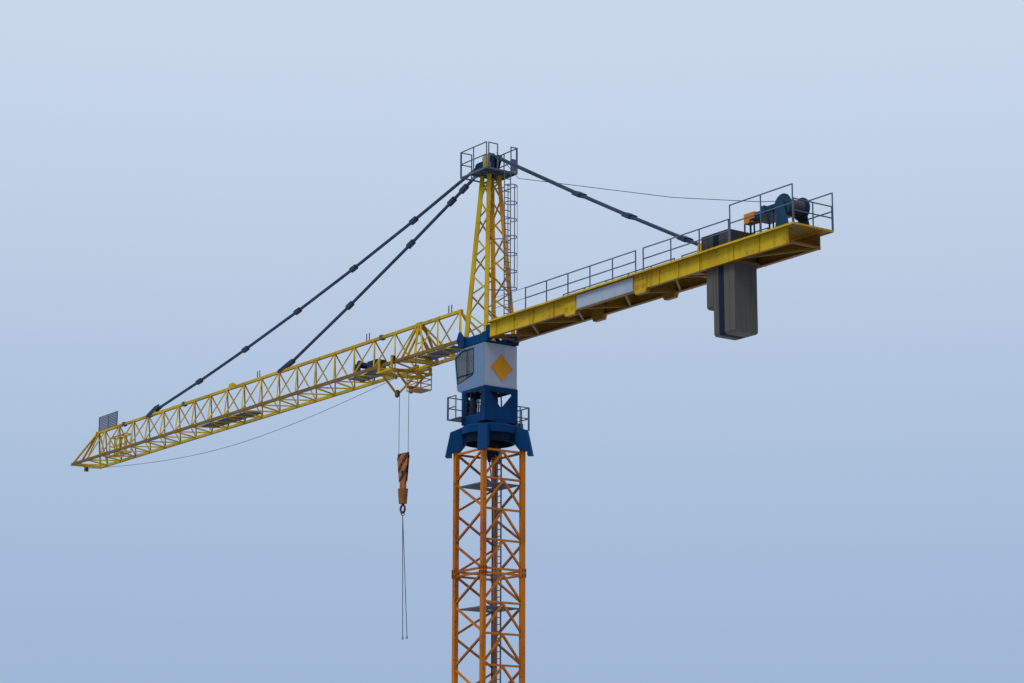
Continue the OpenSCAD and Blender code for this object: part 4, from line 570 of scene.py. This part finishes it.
SKY_LOW, SKY_HIGH = colour(158, 182, 214), colour(204, 218, 236)
LIGHT_LOW, LIGHT_HIGH = colour(130, 134, 146), colour(216, 224, 240)
seen = sky((0.04, SKY_LOW), (0.42, SKY_HIGH))
lighting = sky((0.0, LIGHT_LOW), (0.5, LIGHT_HIGH))

# %% Which ray sees which sky
ray = air.nodes.new("ShaderNodeLightPath")
sees = ray.outputs["Is Camera Ray"]
for kind in ("Is Glossy Ray", "Is Transmission Ray"):
    either = air.nodes.new("ShaderNodeMath")
    either.operation = "MAXIMUM"
    air.links.new(sees, either.inputs[0])
    air.links.new(ray.outputs[kind], either.inputs[1])
    sees = either.outputs[0]
choice = air.nodes.new("ShaderNodeMixShader")
air.links.new(sees, choice.inputs[0])
air.links.new(lighting.outputs[0], choice.inputs[1])
air.links.new(seen.outputs[0], choice.inputs[2])
result = air.nodes.new("ShaderNodeOutputWorld")
air.links.new(choice.outputs[0], result.inputs["Surface"])
bpy.context.scene.view_settings.view_transform = "Standard"
print(len(air.nodes), "nodes make the two skies")

# %% [markdown]
# ## Rods and bolts
# Bars, posts, cans and bolt heads are all one shape: a closed cone, with as many
# sides as the eye needs. A bolt is a six-sided head on a round washer. Finer
# threads and chamfers would never be seen from the ground.


# %% Rod and bolt
def along(start, direction):
    """The matrix that puts +Z along a direction, from a start."""
    turn = Vector(direction).to_track_quat("Z", "Y").to_matrix().to_4x4()
    return Matrix.Translation(start) @ turn


def rod(mesh, start, end, radius, sides=12, end_radius=None):
    """A closed rod or cone from start to end."""
    start, end = Vector(start), Vector(end)
    length = (end - start).length
    place = along(start, end - start) @ Matrix.Translation((0, 0, length / 2))
    second = radius if end_radius is None else end_radius
    bmesh.ops.create_cone(mesh, cap_ends=True, segments=sides, radius1=radius, radius2=second,
                          depth=length, matrix=place)


def bolt(mesh, place, outward, radius=0.014):
    """A bolt on its washer, standing outward from a face."""
    place, outward = Vector(place), Vector(outward).normalized()
    washer_top = place + outward * radius * 0.25
    head_top = place + outward * radius * 1.1
    rod(mesh, place, washer_top, radius * 1.5, 10)
    rod(mesh, place, head_top, radius, 6)


# %% [markdown]
# ## Bolts on the mast
# The mast comes in sections that are bolted at their collars. Every collar face
# that looks outward gets four rows of two bolts.

# %% Mast joints
POST_CENTRE = 0.525
COLLAR_FACE = POST_CENTRE + 0.064
JOINTS = (2.81, 5.53)
BOLT_ROWS = (-0.07, -0.035, 0.035, 0.07)
BOLT_COLUMNS = (-0.035, 0.035)

bolts = bmesh.new()
for sx, sy, joint, row, column in product((-1, 1), (-1, 1), JOINTS, BOLT_ROWS, BOLT_COLUMNS):
    z = joint + row
    bolt(bolts, (sx * COLLAR_FACE, sy * POST_CENTRE + column, z), (sx, 0, 0))
    bolt(bolts, (sx * POST_CENTRE + column, sy * COLLAR_FACE, z), (0, sy, 0))
finished("mast_joint_bolts", bolts, bolt_rust, "mast")

# %% [markdown]
# ## Bolts of the slewing ring
# The ring that the whole crane turns on is held to the blue drum by a close
# circle of bolts. A circle of like things is one bolt, turned round the axis.

# %% Ring bolts
RING_BOLTS = 48
RING_RADIUS = 0.555
DRUM_TOP = 8.80

circle = bmesh.new()
for k in range(RING_BOLTS):
    angle = 2 * math.pi * k / RING_BOLTS
    x, y = RING_RADIUS * math.cos(angle), RING_RADIUS * math.sin(angle)
    bolt(circle, (x, y, DRUM_TOP), (0, 0, 1), 0.009)
finished("ring_bolts", circle, oiled, "mast")

# %% [markdown]
# ## Tubes
# Ropes and cables are rings of a few points, drawn out from place to place. A
# bevelled curve would be quicker to draw. A mesh keeps its place in itself, which
# is what the crane's joints need.


# %% Tube
def drawn_out(mesh, faces, offset):
    """Extrudes faces, moves the new ones by the offset and returns them."""
    made = bmesh.ops.extrude_face_region(mesh, geom=faces)["geom"]
    corners = [v for v in made if isinstance(v, bmesh.types.BMVert)]
    bmesh.ops.translate(mesh, verts=corners, vec=offset)
    return [f for f in made if isinstance(f, bmesh.types.BMFace)]


def tube(mesh, points, radius, sides=8):
    """A rope through points that lie nearly in line."""
    points = [Vector(p) for p in points]
    place = along(points[0], points[-1] - points[0])
    ring = bmesh.ops.create_circle(mesh, cap_ends=True, segments=sides, radius=radius,
                                   matrix=place)
    tip = ring["verts"][0].link_faces[0]
    for start, end in zip(points, points[1:]):
        moved = drawn_out(mesh, [tip], end - start)
        if start != points[0]:
            bmesh.ops.delete(mesh, geom=[tip], context="FACES")
        tip = moved[0]


# %% [markdown]
# ## The power cable
# The current comes up from the ground in one thick cable. It climbs inside a
# corner of the mast and ends in a dark funnel under the drum, on the turning
# axis, where sliding contacts pass the current on. The cable doesn't turn, so
# the whole piece rides on the mast.

# %% Funnel and cable
FUNNEL_FOOT, FUNNEL_TOP = 8.12, 8.40
FROM_FUNNEL = ((0, 0, 8.05), (-0.10, 0.09, 7.93), (-0.24, 0.21, 7.84), (-0.38, 0.33, 7.70))
DOWN_THE_MAST = ((-0.38, 0.33, 7.72), (-0.435, 0.385, 7.55), (-0.44, 0.40, 6.0),
                 (-0.44, 0.40, 3.2), (-0.44, 0.40, 0.14))

cable = bmesh.new()
rod(cable, (0, 0, FUNNEL_FOOT), (0, 0, FUNNEL_TOP), 0.05, 20, 0.21)
rod(cable, (0, 0, 8.02), (0, 0, FUNNEL_FOOT), 0.035, 16)
tube(cable, FROM_FUNNEL, 0.013)
tube(cable, DOWN_THE_MAST, 0.012)
finished("power_cable", cable, seal_black, "mast")

# %% [markdown]
# ## Between the blue columns
# Below the cab the turning part is a dark cave full of machinery. A switch
# cabinet stands in it, and hoses run from the cab's floor down to the drives. It
# is seen only as a tangle in the shade, so boxes and bowed tubes are enough.

# %% Cabinet and hoses
TURNTABLE_TOP, CAB_FLOOR = 9.05, 9.64
CABINET_BACK, CABINET_FRONT, DOOR_FRONT = -0.04, -0.16, -0.168
DOORS = ((-0.04, 0.12), (0.13, 0.28))
HOSES = ((-0.335, -0.15), (-0.29, -0.13), (0.33, -0.19), (0.20, 0.06), (0.26, 0.13),
         (0.30, -0.02), (-0.22, 0.2))


def slab(mesh, corner, opposite):
    """A box between two opposite corners."""
    corner, opposite = Vector(corner), Vector(opposite)
    size = Vector([abs(side) for side in opposite - corner])
    place = Matrix.Translation((corner + opposite) / 2) @ Matrix.Diagonal(size).to_4x4()
    bmesh.ops.create_cube(mesh, size=1, matrix=place)


def bowed(start, end, bulge, parts):
    """Points from start to end, bowed out along X."""
    start, end = Vector(start), Vector(end)
    shares = [k / parts for k in range(parts + 1)]
    return [start.lerp(end, t) + Vector((bulge * math.sin(math.pi * t), 0, 0)) for t in shares]


gear = bmesh.new()
slab(gear, (-0.10, CABINET_FRONT, TURNTABLE_TOP), (0.32, CABINET_BACK, CAB_FLOOR - 0.01))
for left_edge, right_edge in DOORS:
    slab(gear, (left_edge, DOOR_FRONT, TURNTABLE_TOP + 0.05),
         (right_edge, CABINET_FRONT, CAB_FLOOR - 0.05))
for x, y in HOSES:
    foot, top = (x, y, TURNTABLE_TOP), (x * 0.9, y * 0.9, CAB_FLOOR)
    tube(gear, bowed(foot, top, 0.03, 6), 0.017)
# The cabinet and the hoses are nearly black: painted shade of the dark cave under the cab.
finished("switch_cabinet", gear, seal_black, "upperworks")

# %% [markdown]
# ## Steps to the cab
# A short ladder leads up to the cab from the turntable: two flat stringers and
# five round rungs. Against the dark of the turning part only its outline shows,
# so boxes and rods give all that can be seen.

# %% Steps
STRINGERS = (-0.295, -0.125)
RUNGS, RUNG_PITCH = 5, 0.115

steps = bmesh.new()
for x in STRINGERS:
    slab(steps, (x - 0.012, -0.440, TURNTABLE_TOP), (x + 0.012, -0.428, CAB_FLOOR - 0.06))
for k in range(RUNGS):
    z = TURNTABLE_TOP + 0.06 + RUNG_PITCH * k
    rod(steps, (STRINGERS[0], -0.434, z), (STRINGERS[1], -0.434, z), 0.007, 8)
finished("cab_steps", steps, machine, "upperworks")

# %% [markdown]
# ## Splice bolts and stiffeners of the counter-jib
# The two long girders are joined with plates, each held by four rows of bolts.
# Flat stiffeners stand on the webs under the posts of the guard rail, and stop
# the thin web from buckling.

# %% Girder details
GIRDER_FACE = 0.41
SPLICE_FACE = GIRDER_FACE + 0.02
SPLICES = (3.525, 5.9)
SPLICE_COLUMNS = (-0.16, -0.11, -0.06, 0.06, 0.11, 0.16)
SPLICE_ROWS = (10.75, 10.80, 10.92, 10.97)
STIFFENERS = (0.83, 1.5, 2.2, 2.95, 6.5, 7.1, 7.75, 8.75, 9.5, 10.28)
STIFFENER_LOW, STIFFENER_HIGH = 10.712, 11.008
STIFFENER_DEPTH, STIFFENER_HALF = 0.03, 0.008

bolts = bmesh.new()
ribs = bmesh.new()
for side in (-1, 1):
    for splice, column, z in product(SPLICES, SPLICE_COLUMNS, SPLICE_ROWS):
        bolt(bolts, (splice + column, side * SPLICE_FACE, z), (0, side, 0), 0.011)
    y = side * GIRDER_FACE
    for x in STIFFENERS:
        slab(ribs, (x - STIFFENER_HALF, y, STIFFENER_LOW),
             (x + STIFFENER_HALF, y + side * STIFFENER_DEPTH, STIFFENER_HIGH))
finished("girder_splice_bolts", bolts, yellow, "upperworks")
finished("girder_stiffeners", ribs, yellow, "upperworks")

# %% [markdown]
# ## Cooling fins
# The hoist motor is cooled by thin rings round its barrel. A row of flat discs
# on the barrel's axis shows the same edge as a turned profile would.

# %% Fins
FINS, FIN_PITCH, FIN_WIDTH, FIN_RADIUS = 11, 0.027, 0.007, 0.114
MOTOR_START, MOTOR_Y, MOTOR_Z = 9.425, -0.08, 11.5845

fins = bmesh.new()
for k in range(FINS):
    x = MOTOR_START + FIN_PITCH * k
    rod(fins, (x, MOTOR_Y, MOTOR_Z), (x + FIN_WIDTH, MOTOR_Y, MOTOR_Z), FIN_RADIUS, 32)
finished("motor_fins", fins, teal, "upperworks")

# %% [markdown]
# ## Ropes at the deck's edge
# At the root of the counter-jib, where the deck has no rails, two thin ropes are
# stretched along the near edge between short posts. Each dips a little at the
# middle post, where it is tied.

# %% Edge ropes
DECK_TOP, DECK_EDGE = 11.05, -0.515
ROPE_START, MIDDLE_POST, ROPE_END = 0.80, 1.42, 2.07

ropes = bmesh.new()
for height in (0.24, 0.475):
    z = DECK_TOP + height
    tube(ropes, [(ROPE_START, DECK_EDGE, z), (MIDDLE_POST, DECK_EDGE, z - 0.008),
                 (ROPE_END, DECK_EDGE, z)], 0.006)
for x in (ROPE_START, MIDDLE_POST):
    rod(ropes, (x, DECK_EDGE, DECK_TOP), (x, DECK_EDGE, DECK_TOP + 0.48), 0.009, 8)
finished("edge_ropes", ropes, steel_grey, "upperworks")

# %% [markdown]
# ## Thick legs in the jib
# Where the first jib section ends, four heavier legs lean together at the top
# chord, and a short bar crosses each pair. They are plain rods between places
# read from the photograph.

# %% Heavy legs
LEGS = ((-2.39, -2.88), (-2.06, -2.80))
FOOT_Y, FOOT_LEVEL = 0.45, 10.84
HEAD_Y, HEAD_LEVEL = 0.02, 11.70
CROSS_BAR_Y, CROSS_BAR_LEVEL = 0.30, 11.14

legs = bmesh.new()
for side in (-1, 1):
    for foot, top in LEGS:
        rod(legs, (foot, side * FOOT_Y, FOOT_LEVEL), (top, side * HEAD_Y, HEAD_LEVEL), 0.024, 10)
    y = side * CROSS_BAR_Y
    rod(legs, (-2.56, y, CROSS_BAR_LEVEL), (-2.31, y, CROSS_BAR_LEVEL), 0.016, 8)
finished("jib_heavy_legs", legs, yellow, "upperworks")

# %% [markdown]
# ## Cheeks of the outer stay
# Two cheek plates take the outer stay's end down to the top chord. A plate with
# an outline of its own is one face, drawn out by its thickness.

# %% Stay cheeks
CHEEK = ((-16.02, 11.93), (-16.02, 11.84), (-16.62, 11.66), (-16.80, 11.66), (-16.76, 11.74),
         (-16.30, 11.90))
CHEEK_INNER, CHEEK_THICK = 0.048, 0.012

cheeks = bmesh.new()
for side in (-1, 1):
    y = side * CHEEK_INNER
    face = cheeks.faces.new([cheeks.verts.new((x, y, z)) for x, z in CHEEK])
    drawn_out(cheeks, [face], (0, side * CHEEK_THICK, 0))
finished("stay_cheeks", cheeks, slate, "upperworks")

# %% [markdown]
# ## The bare board
# A long board hangs on the near girder. It is a pressed sheet with a turned rim,
# so the box is inset on its outer face and the field pushed back. It stays
# blank.

# %% Board on the girder
BOARD_FRONT, BOARD_BACK = -GIRDER_FACE - 0.045, -GIRDER_FACE - 0.02
BOARD_START, BOARD_END = 3.80, 5.69
BOARD_LOW, BOARD_HIGH = 10.715, 11.0
RIM_WIDTH, RIM_SLOPE, FIELD_DEPTH = 0.012, 0.003, 0.006
BRACKET_COLUMNS, BRACKET_ROWS = (3.95, 4.75, 5.54), (10.76, 10.955)

board = bmesh.new()
slab(board, (BOARD_START, BOARD_FRONT, BOARD_LOW), (BOARD_END, BOARD_BACK, BOARD_HIGH))
front = [f for f in board.faces if f.normal.y < -0.9]
bmesh.ops.inset_region(board, faces=front, thickness=RIM_WIDTH, depth=0)
bmesh.ops.inset_region(board, faces=front, thickness=RIM_SLOPE, depth=-FIELD_DEPTH)
for x, z in product(BRACKET_COLUMNS, BRACKET_ROWS):
    slab(board, (x - 0.02, BOARD_BACK - 0.001, z - 0.012), (x + 0.02, -GIRDER_FACE, z + 0.012))
finished("blank_board", board, board_white, "upperworks")

# %% [markdown]
# ## The bare diamond plate
# The cab's rear wall carries a square plate that stands on its corner. A circle
# of four points is a diamond already. It has a rolled rim and stays blank.

# %% Diamond on the cab
DIAMOND_PLACE = (0.422, 0.02, 10.085)
CENTRE_TO_CORNER = 0.30
DIAMOND_THICK = 0.012

diamond = bmesh.new()
bmesh.ops.create_circle(diamond, cap_ends=True, segments=4, radius=CENTRE_TO_CORNER,
                        matrix=along(DIAMOND_PLACE, (1, 0, 0)))
front = drawn_out(diamond, list(diamond.faces), (DIAMOND_THICK, 0, 0))
diamond.normal_update()
bmesh.ops.inset_region(diamond, faces=front, thickness=0.014, depth=0)
bmesh.ops.inset_region(diamond, faces=front, thickness=0.004, depth=-0.005)
finished("blank_diamond", diamond, sign_orange, "upperworks")

# %% [markdown]
# ## Window seals
# Black rubber runs round each window of the cab. A seal is the window's own
# outline with a ring inset on both sides of it, drawn out a little. A lone face
# has no neighbours, so the inset has to be told to use its boundary.


# %% Rim of an opening
def rim(mesh, outline, lift, outside, inside):
    """A flat frame along the edge of an opening, standing out by lift."""
    face = mesh.faces.new([mesh.verts.new(p) for p in outline])
    mesh.normal_update()
    grown = bmesh.ops.inset_region(
        mesh, faces=[face], thickness=-outside, use_boundary=True)["faces"]
    bmesh.ops.delete(mesh, geom=grown, context="FACES")
    ring = bmesh.ops.inset_region(
        mesh, faces=[face], thickness=outside + inside, use_boundary=True)["faces"]
    bmesh.ops.delete(mesh, geom=[face], context="FACES")
    drawn_out(mesh, ring, lift)


# %% [markdown]
# ## Where the seals go
# The side window has one rounded corner at its rear, and the windscreen leans
# forward. Thin black bars cover the bars between the side panes.

# %% Seals and bars
CAB_SIDE = 0.445
ARC_X, ARC_Z, ARC_RADIUS = -0.08, 10.031, 0.09
ARC_TURN, ARC_PARTS = 78.8, 8
LOW_FRONT_CORNER = (-0.620, 9.825)
HIGH_CORNERS = [(0.01, 10.57), (-0.438, 10.56), (-0.718, 10.457)]
SEAL_LIFT = 0.004
BAR_LIFT = 0.003
SCREEN_LOW, SCREEN_HIGH = Vector((-0.660, 0, 9.825)), Vector((-0.750, 0, 10.435))
SCREEN_HALF = Vector((0, 0.405, 0))

arc = [math.radians(-ARC_TURN + ARC_TURN * k / ARC_PARTS) for k in range(ARC_PARTS + 1)]
rounded = [(ARC_X + ARC_RADIUS * math.cos(a), ARC_Z + ARC_RADIUS * math.sin(a)) for a in arc]
window = [LOW_FRONT_CORNER] + rounded + HIGH_CORNERS

seals = bmesh.new()
for side in (-1, 1):
    y = side * CAB_SIDE
    bar = y + side * BAR_LIFT
    rim(seals, [(x, y, z) for x, z in window], (0, side * SEAL_LIFT, 0), 0.009, 0.012)
    slab(seals, (-0.266, y, 9.90), (-0.244, bar, 10.56))
    slab(seals, (-0.64, y, 9.979), (-0.004, bar, 10.001))
slope = (SCREEN_HIGH - SCREEN_LOW).normalized()
outward = Vector((-slope.z, 0, slope.x))
screen = [SCREEN_LOW - SCREEN_HALF, SCREEN_LOW + SCREEN_HALF,
          SCREEN_HIGH + SCREEN_HALF, SCREEN_HIGH - SCREEN_HALF]
rim(seals, screen, outward * SEAL_LIFT, 0.006, 0.010)
finished("window_seals", seals, seal_black, "upperworks")

# %% [markdown]
# ## The driver's place
# A seat with a high back stands in the middle of the cab, between two boxes with
# levers. It is seen only through the panes, so it is made of boxes with their
# edges bevelled, on plain boxes and a round foot.

# %% Seat and levers
FLOOR_INSIDE = 9.665
CONSOLE_Y = 0.22
CUSHION = (-0.10, -0.13, 9.90), (0.16, 0.13, 9.95)
BACKREST = (0.11, -0.12, 9.95), (0.16, 0.12, 10.32)
HEADREST = (0.12, -0.07, 10.33), (0.155, 0.07, 10.42)

seat = bmesh.new()
for low, high in (CUSHION, BACKREST, HEADREST):
    slab(seat, low, high)
for y in (-CONSOLE_Y, CONSOLE_Y):
    slab(seat, (-0.24, y - 0.05, 9.80), (0.10, y + 0.05, 10.02))
bmesh.ops.bevel(seat, geom=seat.edges[:], offset=0.012, segments=2, affect="EDGES")
rod(seat, (0.03, 0, FLOOR_INSIDE), (0.03, 0, 9.91), 0.04, 16)
for y in (-CONSOLE_Y, CONSOLE_Y):
    rod(seat, (-0.18, y, 10.01), (-0.20, y, 10.13), 0.008, 10)
    rod(seat, (-0.20, y, 10.12), (-0.205, y, 10.15), 0.018, 12)
    slab(seat, (-0.20, y - 0.04, FLOOR_INSIDE), (0.06, y + 0.04, 9.81))
finished("driver_seat", seat, machine, "upperworks")

# %% [markdown]
# ## The hoist rope
# The hoist rope runs from the drum on the counter-jib up to the head. It is
# pulled tight, and its own weight gives it the shallow curve that the points
# follow.

# %% Hoist rope
HOIST = ((0.16, 0.043, 15.185), (1.025, 0.04, 14.35), (6.45, 0.02, 12.60), (9.08, 0, 11.88),
         (9.93, 0, 11.70))

mesh = bmesh.new()
tube(mesh, HOIST, 0.007)
finished("hoist_rope", mesh, rope, "upperworks")

# %% [markdown]
# ## The haul rope
# The haul rope hangs slack under the jib, from the trolley to the tip. When the
# trolley travels, one end goes with it and the other stays. The rope has points
# only at its ends and its middle, and a Subdivision Surface modifier rounds them
# into its curve. Two rings close to the ends hold the ends in place.

# %% Haul rope
HAUL_START, HAUL_END = Vector((-3.865, 0, 10.59)), Vector((-20.5, 0, 10.71))
HAUL_MIDDLE = Vector((-12.1825, 0, 9.87))
HAUL_RADIUS, HAUL_SIDES = 0.0072, 6
END_HOLD = 0.001
ROUNDING = 3

held_start = HAUL_START.lerp(HAUL_MIDDLE, END_HOLD)
held_end = HAUL_END.lerp(HAUL_MIDDLE, END_HOLD)
mesh = bmesh.new()
tube(mesh, [HAUL_START, held_start, HAUL_MIDDLE, held_end, HAUL_END], HAUL_RADIUS, HAUL_SIDES)
haul = finished("haul_rope", mesh, rope, None, smooth=True)
sag = haul.modifiers.new("sag", "SUBSURF")
sag.levels = sag.render_levels = ROUNDING
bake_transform(haul)

# %% [markdown]
# ## The clamp of the haul rope
# A small clamp with one pin holds the haul rope's end on the trolley. Both are
# drawn into one mesh, because they never part.

# %% Haul clamp
PIN_X, PIN_Z, PIN_END = -3.868, 10.592, 0.022

mesh = bmesh.new()
slab(mesh, (-3.885, -0.014, 10.565), (-3.835, 0.014, 10.635))
rod(mesh, (PIN_X, -PIN_END, PIN_Z), (PIN_X, PIN_END, PIN_Z), 0.010, 12)
finished("haul_clamp", mesh, steel_grey, "trolley")

# %% [markdown]
# ## Rope on the drum
# The hoist drum is wound with rope. One turn of rope seen in section is a small
# half circle, so the winding is a scalloped line spun round the drum's axis.
# That is far lighter than a tube wound round the drum, and looks the same.

# %% The winding
DRUM_X, DRUM_Z = 10.0, 11.55
BARREL, TURNS, WOUND_HALF = 0.135, 22, 0.225
POINTS_PER_TURN, SPIN_STEPS = 4, 40

mesh = bmesh.new()
rows = []
for k in range(TURNS * POINTS_PER_TURN + 1):
    y = -WOUND_HALF + 2 * WOUND_HALF * k / (TURNS * POINTS_PER_TURN)
    lift = 0.012 + 0.009 * abs(math.sin(math.pi * k / POINTS_PER_TURN))
    rows.append(mesh.verts.new((DRUM_X, y, DRUM_Z + BARREL + lift)))
edges = [mesh.edges.new(pair) for pair in zip(rows, rows[1:])]
bmesh.ops.spin(mesh, geom=rows + edges, cent=(DRUM_X, 0, DRUM_Z), axis=(0, 1, 0),
               angle=2 * math.pi, steps=SPIN_STEPS, use_merge=True)
bmesh.ops.holes_fill(mesh, edges=[e for e in mesh.edges if e.is_boundary], sides=0)
finished("wound_rope", mesh, rope, "upperworks", smooth=True)
